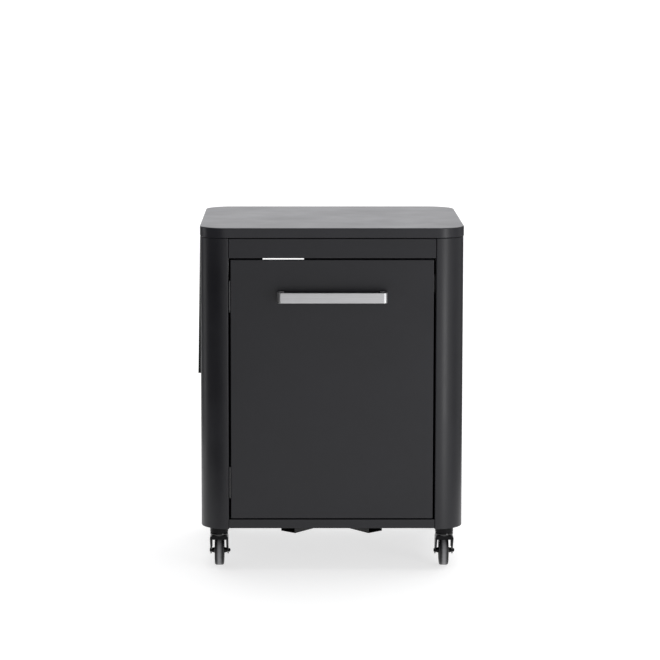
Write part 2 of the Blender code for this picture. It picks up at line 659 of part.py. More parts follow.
def build_bumpers(cabinet):
    """Two rubber buttons on the front of the floor tray's lip, which the closed door meets."""
    face = -BODY_Y + DOOR_DEPTH + SEAT_GAP
    stand = LIP_TOP
    for side, name in ((-1, "door_stop_left"), (1, "door_stop_right")):
        x = side * (DOOR_WIDTH / 2 - HINGE_END)
        z = stand + SEAT_GAP
        block = rod(BUMPER_RADIUS, z, z + 2 * BUMPER_RADIUS, 16, centre=(x, face + BUMPER_RADIUS, 0.0))
        place(name, block, GREY_RUBBER, cabinet, smooth=True)


def skirt_depth(distance):
    """Depth of the shelf's skirt at a distance from the pin: it stops short of the side panel."""
    wall = SHELF_KNUCKLE + SEAT_GAP + distance * math.tan(SHELF_TILT)
    return wall - SHELF_INNER - SKIRT_CLEARANCE


def build_shelf(shelf):
    """The shelf's own origin is on its hinge pin, its sheet hangs down and its outer face is towards -X."""
    half = SHELF_LENGTH / 2
    sheet = box((SHELF_FACE, -half, -SHELF_REACH), (SHELF_INNER, half, -SHELF_EDGE_GAP))
    overlap = SHELF_INNER - SHELF_SHEET / 2
    near = SHELF_INNER + skirt_depth(SKIRT_START)
    far = SHELF_INNER + skirt_depth(SHELF_REACH)
    wedge = [(overlap, -SKIRT_START), (near, -SKIRT_START), (far, -SHELF_REACH), (overlap, -SHELF_REACH)]
    joined = [prism(wedge, -half, -half + SHELF_SHEET, "Y"), prism(wedge, half - SHELF_SHEET, half, "Y")]
    joined.append(box((overlap, -half, -SHELF_REACH), (far, half, -SHELF_REACH + SHELF_SHEET)))
    length = SHELF_HINGE_LENGTH / 3 - SEAT_GAP
    bore = SHELF_PIN + RUNNING_GAP
    for side in (-1, 1):
        y = side * SHELF_HINGE_SPACING / 2
        joined.append(tube(bore, SHELF_KNUCKLE, -length / 2, length / 2, PIN_STEPS, "Y", (0.0, y, 0.0)))
        joined.append(box((SHELF_FACE, y - length / 2, -SHELF_EDGE_GAP - SHELF_SHEET),
                          (SHELF_INNER, y + length / 2, -SHELF_PIN / 2)))
    place("shelf_pan", shaped("shelf_pan", sheet, joined=joined), COATED_STEEL, shelf)

    rise = SHELF_REACH - SHELF_SHEET / 2
    wall = SHELF_KNUCKLE + SEAT_GAP + rise * math.tan(SHELF_TILT)
    button = turned([(0.0, far + SEAT_GAP), (SHELF_BUMPER_RADIUS, far + SEAT_GAP),
                     (SHELF_BUMPER_RADIUS, (far + wall) / 2), (SHELF_BUMPER_RADIUS / 2, wall - SEAT_GAP),
                     (0.0, wall - SEAT_GAP)], 12, "X")
    mesh = shaped("shelf_button", button)
    for side, name in ((-1, "shelf_button_front"), (1, "shelf_button_rear")):
        y = side * (half - SHELF_BUMPER_INSET)
        place(name, mesh, GREY_RUBBER, shelf, (0.0, y, -SHELF_REACH + SHELF_BUMPER_RADIUS))


def build_shelf_hinges(cabinet):
    third = SHELF_HINGE_LENGTH / 3
    slack = SEAT_GAP / 2
    ends = [(0.0, third - slack), (2 * third + slack, SHELF_HINGE_LENGTH)]
    leaf = hinge_leaf("shelf_hinge_leaf", SHELF_HINGE_LENGTH, SHELF_KNUCKLE, SHELF_PIN, SHELF_SHEET,
                      SHELF_WALL_LEAF, ends, 1)
    pin = shaped("shelf_pin", rod(SHELF_PIN, 0.0, SHELF_HINGE_LENGTH, PIN_STEPS))
    # Laid down along the shelf: the leaf's length runs along Y and its plate down the side panel
    lay = Matrix.Rotation(-math.pi / 2, 4, "X")
    for mesh in (leaf, pin):
        mesh.transform(lay)
    for side, name in ((-1, "front"), (1, "rear")):
        y = side * SHELF_HINGE_SPACING / 2 - SHELF_HINGE_LENGTH / 2
        place("shelf_hinge_leaf_" + name, leaf, BLACK_STEEL, cabinet, SHELF_AXIS + Vector((0.0, y, 0.0)))
        place("shelf_pin_" + name, pin, BLACK_STEEL, cabinet, SHELF_AXIS + Vector((0.0, y, 0.0)))


def build_prop(shelf, prop, cabinet):
    """Wire bail with its ends turned outwards into two saddles under the shelf."""
    half = PROP_SPAN / 2
    quarter = [(half + PROP_EAR, 0.0)]
    quarter += arc((half + PROP_BEND, -PROP_BEND), PROP_BEND, 90, 180, 3)
    quarter += arc((half - PROP_BEND, -PROP_LENGTH + PROP_BEND), PROP_BEND, 0, -90, 3)
    points = quarter + [(-y, z) for y, z in reversed(quarter)]
    curve = bpy.data.curves.new("shelf_prop", "CURVE")
    curve.dimensions = "3D"
    curve.bevel_depth = PROP_WIRE
    curve.bevel_resolution = 2
    curve.use_fill_caps = True
    line = curve.splines.new("POLY")
    line.points.add(len(points) - 1)
    for point, (y, z) in zip(line.points, points):
        point.co = (0.0, y, z, 1.0)
    curve.materials.append(make_material("shelf_prop", *ZINC_STEEL))
    wire = bpy.data.objects.new("shelf_prop", curve)
    bpy.context.scene.collection.objects.link(wire)
    wire.parent = prop

    clear = PROP_WIRE + RUNNING_GAP
    top = PROP_X + clear
    foot = SHELF_INNER + SEAT_GAP
    reach = clear + SADDLE_FOOT
    strap = [(foot, -reach), (foot, -clear), (top, -clear), (top, clear), (foot, clear), (foot, reach)]
    section = folded(strap, -SADDLE_SHEET)
    mesh = shaped("prop_saddle", prism(section, -SADDLE_WIDTH / 2, SADDLE_WIDTH / 2, "Y"))
    middle = half + PROP_BEND + (PROP_EAR - PROP_BEND) / 2
    for side, name in ((-1, "prop_saddle_front"), (1, "prop_saddle_rear")):
        place(name, mesh, ZINC_STEEL, shelf, (0.0, side * middle, -PROP_PIVOT))

    wall = -BODY_X - SEAT_GAP
    high = SHELF_AXIS.z + FOOT_Z - PROP_WIRE - PROP_REST_DROP
    reach = half - 2 * PROP_BEND
    rest = box((wall - PROP_REST_SHEET, -reach, high - PROP_REST_HEIGHT), (wall, reach, high))
    place("prop_rest", rest, COATED_STEEL, cabinet)


def fork_side(inset, top):
    """Side view of a fork about its swivel axis, as (y, z) points, with the wheel towards +Y."""
    bend = CROWN_LOW - FORK_BEND
    front = inset - FORK_FRONT
    rear = FORK_REAR - inset
    return [(rear, bend), (rear, top), (front, top), (front, bend)] + arc(
        (CASTOR_TRAIL, AXLE_HEIGHT), FORK_END - inset, 180, 345, BEND_STEPS)


def fork_section(half, low, high, bend):
    """Front view of a fork's crown and arms, as (x, z) points, with rounded upper corners."""
    left = arc((bend - half, high - bend), bend, 180, 90, 4)
    right = arc((half - bend, high - bend), bend, 90, 0, 4)
    return [(-half, low)] + left + right + [(half, low)]


def fork_mesh():
    """Pressed fork of a castor, about its swivel axis at floor level: a sheet with turned-in edges."""
    half = FORK_WIDTH / 2
    inner = half - FORK_SHEET
    arms = CROWN_LOW - FORK_BEND
    above = CROWN_HIGH + FORK_BEND
    outside = fork_section(half, 0.0, CROWN_HIGH, FORK_BEND)
    channel = prism(folded(outside, -FORK_RIM), -FORK_WIDTH, 2 * FORK_WIDTH, "Y")
    blank = prism(fork_side(0.0, above), -FORK_WIDTH, FORK_WIDTH, "X")
    crown = fork_section(inner, arms, CROWN_LOW, FORK_BEND - FORK_SHEET)
    under_crown = prism(crown, FORK_SHEET - FORK_FRONT, FORK_REAR - FORK_SHEET, "Y")
    between_arms = prism(fork_side(FORK_SHEET, arms + SEAT_GAP), -inner, inner, "X")
    ends = box((-inner, -FORK_WIDTH, 0.0), (inner, 2 * FORK_WIDTH, AXLE_HEIGHT + FORK_RIM_END))
    skirt = box((FORK_SHEET / 2 - half, -FORK_FRONT, CROWN_LOW - FORK_SKIRT),
                (half - FORK_SHEET / 2, -FORK_FRONT + FORK_SHEET, CROWN_HIGH - FORK_SHEET / 2))
    race = tube(RACE_RADIUS - RACE_WALL, RACE_RADIUS, CROWN_HIGH - FORK_SHEET / 2,
                CAP_LOW - SEAT_GAP, BEARING_STEPS)
    axle_hole = rod(AXLE_RADIUS + SEAT_GAP, -FORK_WIDTH, FORK_WIDTH, PIN_STEPS, "X",
                    (0.0, CASTOR_TRAIL, AXLE_HEIGHT))
    bolt_hole = rod(BOLT_RADIUS + RUNNING_GAP, CROWN_LOW - FORK_BEND, above, BEARING_STEPS)
    return shaped("castor_fork", channel, kept=[blank], joined=[race],
                  cut=[under_crown, between_arms, ends, axle_hole, bolt_hole], added=[skirt])


def cap_mesh():
    """Castor's fixed upper race: a flanged cap, pressed down round the bolt until it meets the crown."""
    bore = BOLT_RADIUS + SEAT_GAP
    boss_low = CROWN_HIGH + SEAT_GAP
    under = FLANGE_LOW - CAP_WALL
    profile = [(bore, CASTOR_HEIGHT), (bore, boss_low), (BOSS_RADIUS, boss_low), (BOSS_RADIUS, under),
               (CAP_RADIUS - CAP_WALL, under), (CAP_RADIUS - CAP_WALL, CAP_LOW), (CAP_RADIUS, CAP_LOW),
               (CAP_RADIUS, FLANGE_LOW), (FLANGE_RADIUS, FLANGE_LOW), (FLANGE_RADIUS, CASTOR_HEIGHT)]
    return shaped("castor_plate", turned(profile, BEARING_STEPS))


def bolt_mesh():
    """Bolt with its head under the crown, through the fork, the cap and the floor, and its nut inside."""
    head = CROWN_LOW - SEAT_GAP
    nut_low = FLOOR_HIGH + SEAT_GAP
    nut_high = nut_low + BOLT_NUT_HEIGHT
    profile = [(0.0, head - BOLT_HEAD_HEIGHT), (BOLT_HEAD_FLAT, head - BOLT_HEAD_HEIGHT),
               (BOLT_HEAD, head - BOLT_HEAD_HEIGHT / 2), (BOLT_HEAD, head), (BOLT_RADIUS, head),
               (BOLT_RADIUS, nut_high + BOLT_TAIL), (0.0, nut_high + BOLT_TAIL)]
    nut = rod(BOLT_NUT, nut_low, nut_high, 6)
    return shaped("castor_pin", turned(profile, BEARING_STEPS), joined=[nut])


def axle_mesh():
    """Axle bolt along X through the fork's ends, with a hexagon head, a nut and its threaded tail."""
    half = FORK_WIDTH / 2 + SEAT_GAP
    shank = rod(AXLE_RADIUS, -half - AXLE_HEAD_HEIGHT / 2, half + AXLE_NUT_HEIGHT + AXLE_TAIL, PIN_STEPS, "X")
    head = rod(AXLE_HEAD, -half - AXLE_HEAD_HEIGHT, -half, 6, "X")
    nut = rod(AXLE_HEAD, half, half + AXLE_NUT_HEIGHT, 6, "X")
    return shaped("castor_axle", shank, joined=[head, nut])


def core_mesh():
    """Moulded wheel centre: hub, thin web and rim."""
    rim = WHEEL_RADIUS - TYRE_DEPTH
    hub = FORK_WIDTH / 2 - FORK_SHEET - 2 * SEAT_GAP
    lower = [(AXLE_RADIUS + RUNNING_GAP, -hub), (HUB_END, -hub),
             (HUB_RADIUS, -WEB_THICKNESS / 2), (rim - RIM_DEPTH, -WEB_THICKNESS / 2),
             (rim - RIM_DEPTH, -RIM_WIDTH / 2), (rim, -RIM_WIDTH / 2)]
    upper = [(radius, -height) for radius, height in reversed(lower)]
    return shaped("castor_wheel", turned(lower + upper, BEARING_STEPS, "X"))


def tyre_mesh():
    """Rubber tyre with a rounded tread."""
    bed = WHEEL_RADIUS - TYRE_DEPTH + SEAT_GAP
    half = WHEEL_WIDTH / 2
    lower = [(bed, -half), (WHEEL_RADIUS - SIDE_DEPTH, -half),
             (WHEEL_RADIUS - SHOULDER_DEPTH, -SHOULDER_WIDTH / 2), (WHEEL_RADIUS, -TREAD_WIDTH / 2)]
    upper = [(radius, -height) for radius, height in reversed(lower)]
    return shaped("castor_tyre", turned(lower + upper, WHEEL_STEPS, "X"))


def build_castors(cabinet):
    meshes = {"plate": cap_mesh(), "pin": bolt_mesh(), "fork": fork_mesh(),
              "axle": axle_mesh(), "wheel": core_mesh(), "tyre": tyre_mesh()}
    for end, y_side in (("front", -1), ("rear", 1)):
        for hand, x_side in (("left", -1), ("right", 1)):
            name = end + "_" + hand
            turn = (0.0, 0.0, 0.0) if end == "front" else (0.0, 0.0, math.pi)
            place_of = (x_side * CASTOR_X, y_side * CASTOR_Y, 0.0)
            swivel = make_empty("castor_" + name, place_of, cabinet, turn)
            axle = make_empty("axle_" + name, (0.0, CASTOR_TRAIL, AXLE_HEIGHT), swivel)
            place("castor_plate_" + name, meshes["plate"], BLACK_STEEL, swivel)
            place("castor_pin_" + name, meshes["pin"], ZINC_STEEL, swivel)
            place("castor_fork_" + name, meshes["fork"], BLACK_STEEL, swivel)
            place("castor_axle_" + name, meshes["axle"], BLACK_STEEL, axle)
            place("castor_wheel_" + name, meshes["wheel"], BLACK_PLASTIC, axle)
            place("castor_tyre_" + name, meshes["tyre"], GREY_RUBBER, axle, smooth=True)


def build_table():
    clear_scene()
    cabinet = make_empty("cabinet", (CABINET_X, CABINET_Y, 0.0))
    build_worktop(cabinet)
    build_sides(cabinet)
    build_front_and_back(cabinet)
    build_floor(cabinet)
    build_brace(cabinet)
    door = make_empty("door", DOOR_AXIS, cabinet)
    build_door(door)
    build_door_hinges(cabinet, door)
    build_catch(cabinet)
    build_bumpers(cabinet)
    shelf = make_empty("shelf", SHELF_AXIS, cabinet, (0.0, SHELF_TILT, 0.0))
    build_shelf(shelf)
    build_shelf_hinges(cabinet)
    prop = make_empty("prop", (PROP_X, 0.0, -PROP_PIVOT), shelf)
    build_prop(shelf, prop, cabinet)
    build_castors(cabinet)


build_table()
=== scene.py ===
"""Outdoor kitchen table in powder-coated steel, dressed for its pictures. Metres, +Z up, front towards -Y."""
import math

import bmesh
import bpy
from mathutils import Matrix, Vector


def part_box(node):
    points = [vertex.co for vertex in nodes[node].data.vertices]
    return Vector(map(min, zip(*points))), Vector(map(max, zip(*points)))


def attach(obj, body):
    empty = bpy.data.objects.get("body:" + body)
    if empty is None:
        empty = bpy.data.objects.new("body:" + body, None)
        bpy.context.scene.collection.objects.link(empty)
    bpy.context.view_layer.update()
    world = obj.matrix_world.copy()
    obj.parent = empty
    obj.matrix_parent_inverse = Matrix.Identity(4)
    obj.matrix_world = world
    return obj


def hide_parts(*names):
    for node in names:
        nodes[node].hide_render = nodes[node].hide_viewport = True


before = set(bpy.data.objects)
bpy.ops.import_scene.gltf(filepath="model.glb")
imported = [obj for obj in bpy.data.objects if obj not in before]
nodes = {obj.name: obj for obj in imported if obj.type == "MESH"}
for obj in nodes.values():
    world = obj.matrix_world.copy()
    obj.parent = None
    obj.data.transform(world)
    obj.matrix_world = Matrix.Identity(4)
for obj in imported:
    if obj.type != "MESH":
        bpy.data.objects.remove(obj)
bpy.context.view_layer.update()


# Worktop: one steel sheet, 1.5 mm, its corners drawn round and its edge folded down into
# a skirt. Polyester powder coat, near black, satin. Carried by two angle rails and two
# hat-shaped stiffeners that are spot-welded under the sheet.

CLOUDS_PER_METRE = 9.0     # soft unevenness of the coat
SPECK_MM = 1.2
SPECK_SHARE = 0.45         # weight of the specks in the colour, beside the clouds
ORANGE_PEEL_MM = 2.4       # real waves are near 1 mm: drawn coarser so that they show
SHEEN_SPREAD = 0.03        # roughness above and below the coat's own
TOP_SHEET = 0.0015
TOP_CORNER = 0.0675
TOP_EDGE = 0.002
HEM = 0.0004               # rounding of cut sheet edges
SHARP_EDGE = 38.0          # an edge bent by more degrees is rounded or stays sharp
EDGE_STEPS = 5             # steps round a folded edge
LIP_STEPS = 4              # steps round the fold of a turned-in lip
LEAST_CORNER = 0.0002      # no corner of a pan is drawn smaller


def srgb(code):
    """Linear RGBA of an sRGB hex colour."""
    channels = []
    for i in (0, 2, 4):
        value = int(code[i:i + 2], 16) / 255
        channels.append(value / 12.92 if value <= 0.04045 else ((value + 0.055) / 1.055) ** 2.4)
    return (*channels, 1.0)


def add_node(material, kind, settings=None, **sockets):
    """Node in a material or a world. Settings are its own properties; sockets are values or outputs."""
    tree = material.node_tree
    made = tree.nodes.new(kind)
    for key, value in (settings or {}).items():
        setattr(made, key, value)
    for key, value in sockets.items():
        label = key.replace("_", " ")
        socket = next(s for s in made.inputs if s.name == label and s.enabled and not s.is_linked)
        if isinstance(value, bpy.types.NodeSocket):
            tree.links.new(value, socket)
        else:
            socket.default_value = value
    return made


def new_finish(name, slot_name):
    """Empty material for a finish, with the row's slot that it belongs to."""
    material = bpy.data.materials.new(name)
    material.use_nodes = True
    material.node_tree.nodes.clear()
    material["slot"] = slot_name
    return material


def close_finish(material, shader):
    """The finish's shader goes to the surface of its material."""
    add_node(material, "ShaderNodeOutputMaterial", Surface=shader.outputs["BSDF"])
    return material


def mapped(material, scale=(1.0, 1.0, 1.0)):
    """Place on the piece in metres, stretched by a scale."""
    place = add_node(material, "ShaderNodeTexCoord")
    return add_node(material, "ShaderNodeMapping", Vector=place.outputs["Object"],
                    Scale=scale).outputs["Vector"]


def set_stops(colour, *stops):
    """Stops of a colour ramp, each a position and an sRGB colour."""
    elements = colour.color_ramp.elements
    while len(elements) < len(stops):
        elements.new(0.5)
    for element, (position, code) in zip(elements, stops):
        element.position = position
        element.color = srgb(code)


def powder_coat(name, slot_name, light, dark, roughness):
    """Baked polyester powder on steel: satin, nearly even in colour, with a fine orange peel."""
    material = new_finish(name, slot_name)
    spot = mapped(material)
    cloud = add_node(material, "ShaderNodeTexNoise", Vector=spot, Scale=CLOUDS_PER_METRE, Detail=3.0,
                     Roughness=0.55)
    speck = add_node(material, "ShaderNodeTexNoise", Vector=spot, Scale=1000 / SPECK_MM, Detail=2.0)
    blend = add_node(material, "ShaderNodeMath", {"operation": "MULTIPLY_ADD"})
    material.node_tree.links.new(speck.outputs["Fac"], blend.inputs[0])
    blend.inputs[1].default_value = SPECK_SHARE
    material.node_tree.links.new(cloud.outputs["Fac"], blend.inputs[2])
    colour = add_node(material, "ShaderNodeValToRGB", Fac=blend.outputs["Value"])
    set_stops(colour, (0.45, dark), (0.95, light))
    sheen = add_node(material, "ShaderNodeMapRange", Value=cloud.outputs["Fac"], From_Min=0.3, From_Max=0.7,
                     To_Min=roughness - SHEEN_SPREAD, To_Max=roughness + SHEEN_SPREAD)
    peel = add_node(material, "ShaderNodeTexNoise", Vector=spot, Scale=1000 / ORANGE_PEEL_MM, Detail=1.0)
    bump = add_node(material, "ShaderNodeBump", Height=peel.outputs["Fac"], Strength=0.06, Distance=0.0004)
    shader = add_node(material, "ShaderNodeBsdfPrincipled", Base_Color=colour.outputs["Color"],
                      Roughness=sheen.outputs["Result"], Normal=bump.outputs["Normal"], IOR=1.45)
    return close_finish(material, shader)


COAT_TOP = powder_coat("satin_polyester_powder_on_worktop", "coated_worktop", "232328", "1b1b20", 0.34)
COAT_INSIDE = powder_coat("thin_polyester_powder_inside", "coated_inside", "1c1c1e", "161618", 0.48)


def soften(piece, rounding):
    """Shades a piece smooth, with its sharp edges rounded or else marked."""
    piece.data.shade_smooth()
    if rounding:
        bevel = piece.modifiers.new("edges", "BEVEL")
        bevel.width = rounding
        bevel.segments = 2
        bevel.limit_method = "ANGLE"
        bevel.angle_limit = math.radians(SHARP_EDGE)
    else:
        piece.data.set_sharp_from_angle(angle=math.radians(SHARP_EDGE))
    weigh = piece.modifiers.new("flats", "WEIGHTED_NORMAL")
    weigh.keep_sharp = True


def dress(node_name, material, rounding=0.0):
    """The CAD node stays and gets the finish, with its edges rounded where that shows."""
    piece = nodes[node_name]
    piece.data.materials.clear()
    piece.data.materials.append(material)
    soften(piece, rounding)


def finished(name, solid, material, body, stands_for=(), rounding=0.0):
    """Piece from a bmesh, with softened edges, a finish, and the body that it rides on."""
    mesh = bpy.data.meshes.new(name)
    bmesh.ops.recalc_face_normals(solid, faces=solid.faces)
    solid.to_mesh(mesh)
    solid.free()
    piece = bpy.data.objects.new(name, mesh)
    bpy.context.scene.collection.objects.link(piece)
    mesh.materials.append(material)
    soften(piece, rounding)
    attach(piece, body)
    if stands_for:
        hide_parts(*stands_for)
    return piece


def arc(centre, radius, start, end, steps):
    """Points round a centre between two angles in degrees."""
    points = []
    for i in range(steps + 1):
        angle = math.radians(start + (end - start) * i / steps)
        points.append((centre[0] + radius * math.cos(angle), centre[1] + radius * math.sin(angle)))
    return points


def round_rectangle(half_x, half_y, corner, steps):
    """Outline round the origin with four round corners."""
    points = []
    for quarter, (x, y) in enumerate(((1, 1), (-1, 1), (-1, -1), (1, -1))):
        centre = (x * (half_x - corner), y * (half_y - corner))
        points += arc(centre, corner, 90 * quarter, 90 * quarter + 90, steps)
    return points


def pan(width, height, depth, sheet, edge, corner=0.001, corner_steps=4, lip=0.0):
    """Folded sheet tray: face at z = 0, sides up to z = depth, and a lip turned in if it has one."""
    inside = depth - sheet
    levels = arc((edge, edge), edge, -90, -180, EDGE_STEPS)
    if lip:
        levels += arc((edge, depth - edge), edge, 180, 90, LIP_STEPS)
        levels += [(lip - HEM, depth), (lip, depth - HEM), (lip, inside + HEM), (lip - HEM, inside)]
        levels += [(sheet + HEM, inside), (sheet, inside - HEM)]
    else:
        levels += [(0.0, depth - HEM), (HEM, depth), (sheet - HEM, depth), (sheet, depth - HEM)]
    levels += [(sheet, sheet + HEM), (sheet + HEM, sheet)]
    solid = bmesh.new()
    rings = []
    for inset, z in levels:
        rounding = max(corner - inset, LEAST_CORNER)
        ring = round_rectangle(width / 2 - inset, height / 2 - inset, rounding, corner_steps)
        rings.append([solid.verts.new((x, y, z)) for x, y in ring])
    for below, above in zip(rings, rings[1:]):
        for i in range(len(below)):
            solid.faces.new((below[i - 1], below[i], above[i], above[i - 1]))
    solid.faces.new(rings[0])
    solid.faces.new(rings[-1])
    return solid


def moved(solid, matrix):
    """The solid itself, turned and shifted by a matrix."""
    bmesh.ops.transform(solid, verts=solid.verts, matrix=matrix)
    return solid


low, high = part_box("worktop")
middle = (low + high) / 2
top = pan(high.x - low.x, high.y - low.y, high.z - low.z, TOP_SHEET, TOP_EDGE, TOP_CORNER, corner_steps=20)
turn = Matrix.Translation((middle.x, middle.y, high.z)) @ Matrix.Rotation(math.pi, 4, "X")
finished("worktop_sheet", moved(top, turn), COAT_TOP, "cabinet", ["worktop"])
for name in ("worktop_stiffener_front", "worktop_stiffener_rear"):
    dress(name, COAT_INSIDE)


# Cabinet body: two side panels, each rolled from one sheet with a round column at both
# ends; a folded fascia, rear panel and floor tray; under the floor an X brace of channels.
# Steel sheet, spot-welded, then powder coated, the brace in a duller coat whose darker colour is painted
# shade.

BODY_SHEET = 0.0012
TOP_OVERHANG = 0.0012      # worktop beyond the cabinet, all round
COLUMN_RADIUS = TOP_CORNER - TOP_OVERHANG
COLUMN_STEPS = 28
FOLD = 0.0028              # outer radius of the fold beside a column
FOLD_STEPS = 4
BACK_FLANGE = 0.020
JAMB_DEPTH = 0.025
PAN_EDGE = 0.0015

COAT = powder_coat("satin_polyester_powder_on_steel", "coated_steel", "1e1e23", "16161b", 0.38)
# Duller powder for the brace and the shelf; its darker colour is painted shade
MATT_COAT_WITH_PAINTED_SHADE = powder_coat("matt_polyester_powder_with_painted_shade", "coated_steel", "131315", "0d0d0f", 0.50)


def sheet_section(path, sheet):
    """Closed outline of a bent sheet: one face on the path, the other to its left."""
    inner = []
    for i, point in enumerate(path):
        here = Vector(point)
        before = (here - Vector(path[i - 1])).normalized() if i else None
        after = (Vector(path[i + 1]) - here).normalized() if i < len(path) - 1 else None
        before = before or after
        after = after or before
        side_a = Vector((-before.y, before.x))
        side_b = Vector((-after.y, after.x))
        across = (side_a + side_b).normalized()
        inner.append(tuple(here + across * (sheet / across.dot(side_a))))
    return list(path) + inner[::-1]


def extruded(outline, low_end, high_end, axis="Z"):
    """Solid between two heights with an outline in XY, or along Y with an outline in XZ."""
    solid = bmesh.new()
    rings = []
    for level in (low_end, high_end):
        places = [(a, b, level) if axis == "Z" else (a, level, b) for a, b in outline]
        rings.append([solid.verts.new(place) for place in places])
    for i in range(len(outline)):
        solid.faces.new((rings[0][i - 1], rings[0][i], rings[1][i], rings[1][i - 1]))
    solid.faces.new(rings[0])
    solid.faces.new(rings[1])
    return solid


for side, name in ((-1, "side_panel_left"), (1, "side_panel_right")):
    low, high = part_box(name)
    outer = high.x if side > 0 else low.x
    jamb = low.x if side > 0 else high.x
    centre_x = outer - side * COLUMN_RADIUS
    path = [(jamb, low.y + JAMB_DEPTH)]
    corner = arc((0.0, 0.0), FOLD, 180, 270, FOLD_STEPS)
    path += [(jamb + side * (x + FOLD), low.y + y + FOLD) for x, y in corner]
    turn_in = arc((0.0, 0.0), COLUMN_RADIUS, -90, 0, COLUMN_STEPS)
    path += [(centre_x + side * x, low.y + COLUMN_RADIUS + y) for x, y in turn_in]
    turn_out = arc((0.0, 0.0), COLUMN_RADIUS, 0, 90, COLUMN_STEPS)
    path += [(centre_x + side * x, high.y - COLUMN_RADIUS + y) for x, y in turn_out]
    corner = arc((0.0, 0.0), FOLD, 90, 180, FOLD_STEPS)
    path += [(jamb + side * (x + FOLD), high.y + y - FOLD) for x, y in corner]
    path += [(jamb, high.y - BACK_FLANGE)]
    section = sheet_section(path, side * BODY_SHEET)
    panel = extruded(section, low.z, high.z)
    finished(name + "_sheet", panel, COAT, "cabinet", [name], rounding=HEM)

low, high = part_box("front_fascia")
middle = (low + high) / 2
face = pan(high.x - low.x, high.z - low.z, high.y - low.y, BODY_SHEET, PAN_EDGE)
turn = Matrix.Translation((middle.x, low.y, middle.z)) @ Matrix.Rotation(-math.pi / 2, 4, "X")
finished("front_fascia_sheet", moved(face, turn), COAT, "cabinet", ["front_fascia"])

for name in ("rear_panel", "floor_tray"):
    dress(name, COAT, HEM)
# The brace's darker colour is painted shade
dress("floor_brace", MATT_COAT_WITH_PAINTED_SHADE, HEM)
for name in ("top_rail_left", "top_rail_right"):
    dress(name, COAT_INSIDE)


# Door: a pan of 1.2 mm sheet with turned-in lips, a stiffener behind the handle, and the
# strike plate of its magnetic catch. Powder coated like the cabinet.

DOOR_SHEET = 0.0012
DOOR_LIP = 0.012

low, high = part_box("door_skin")
middle = (low + high) / 2
skin = pan(high.x - low.x, high.z - low.z, high.y - low.y, DOOR_SHEET, PAN_EDGE, lip=DOOR_LIP)
turn = Matrix.Translation((middle.x, low.y, middle.z)) @ Matrix.Rotation(-math.pi / 2, 4, "X")
finished("door_skin_sheet", moved(skin, turn), COAT, "door", ["door_skin"])
dress("door_stiffener", COAT_INSIDE)


# Handle: one flat stainless bar, 25 by 4 mm, bent back at both ends and screwed on from
# inside the door. Brushed along its length, with its long edges broken round.

HANDLE_BAR = 0.004
HANDLE_HEIGHT = 0.0253
HANDLE_BEND = 0.0095       # outer radius of the front bends
HANDLE_BEND_STEPS = 12
HANDLE_FOOT_BEND = 0.0064  # outer radius of the bends at the door
HANDLE_FOOT_STEPS = 8
HANDLE_FOOT = 0.017
HANDLE_EDGE = 0.0009
BRUSH_MM = 0.8             # real lines are near 0.1 mm: drawn coarser so that they show
STREAKS_PER_METRE = 6.0    # how often a line ends along the bar


def brushed_stainless(name, slot_name):
    """Stainless steel ground with a belt: fine lines along X that stretch the highlights across them."""
    material = new_finish(name, slot_name)
    drawn = mapped(material, (STREAKS_PER_METRE, 1000 / BRUSH_MM, 1000 / BRUSH_MM))
    lines = add_node(material, "ShaderNodeTexNoise", Vector=drawn, Scale=1.0, Detail=4.0, Roughness=0.7)
    cloud = add_node(material, "ShaderNodeTexNoise", Vector=mapped(material), Scale=20.0, Detail=2.0)
    colour = add_node(material, "ShaderNodeValToRGB", Fac=lines.outputs["Fac"])
    set_stops(colour, (0.25, "acacae"), (0.75, "cececf"))
    sheen = add_node(material, "ShaderNodeMapRange", Value=cloud.outputs["Fac"], To_Min=0.30, To_Max=0.42)
    bump = add_node(material, "ShaderNodeBump", Height=lines.outputs["Fac"], Strength=0.12, Distance=0.0002)
    shader = add_node(material, "ShaderNodeBsdfPrincipled", Base_Color=colour.outputs["Color"], Metallic=1.0,
                      Roughness=sheen.outputs["Result"], Normal=bump.outputs["Normal"], Anisotropic=0.5)
    return close_finish(material, shader)


STAINLESS = brushed_stainless("belt_brushed_stainless", "brushed_handle")

low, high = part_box("door_handle")
middle = (low + high) / 2
half = [(high.x - HANDLE_FOOT, high.y)]
foot_centre = (high.x - HANDLE_FOOT_BEND, high.y - HANDLE_FOOT_BEND)
half += arc(foot_centre, HANDLE_FOOT_BEND, 90, 0, HANDLE_FOOT_STEPS)
front_centre = (high.x - HANDLE_BEND, low.y + HANDLE_BEND)
half += arc(front_centre, HANDLE_BEND, 0, -90, HANDLE_BEND_STEPS)
path = half + [(2 * middle.x - x, y) for x, y in reversed(half)]
bar = extruded(sheet_section(path, -HANDLE_BAR), high.z - HANDLE_HEIGHT, high.z)
finished("door_handle_bar", bar, STAINLESS, "door", ["door_handle"], rounding=HANDLE_EDGE)
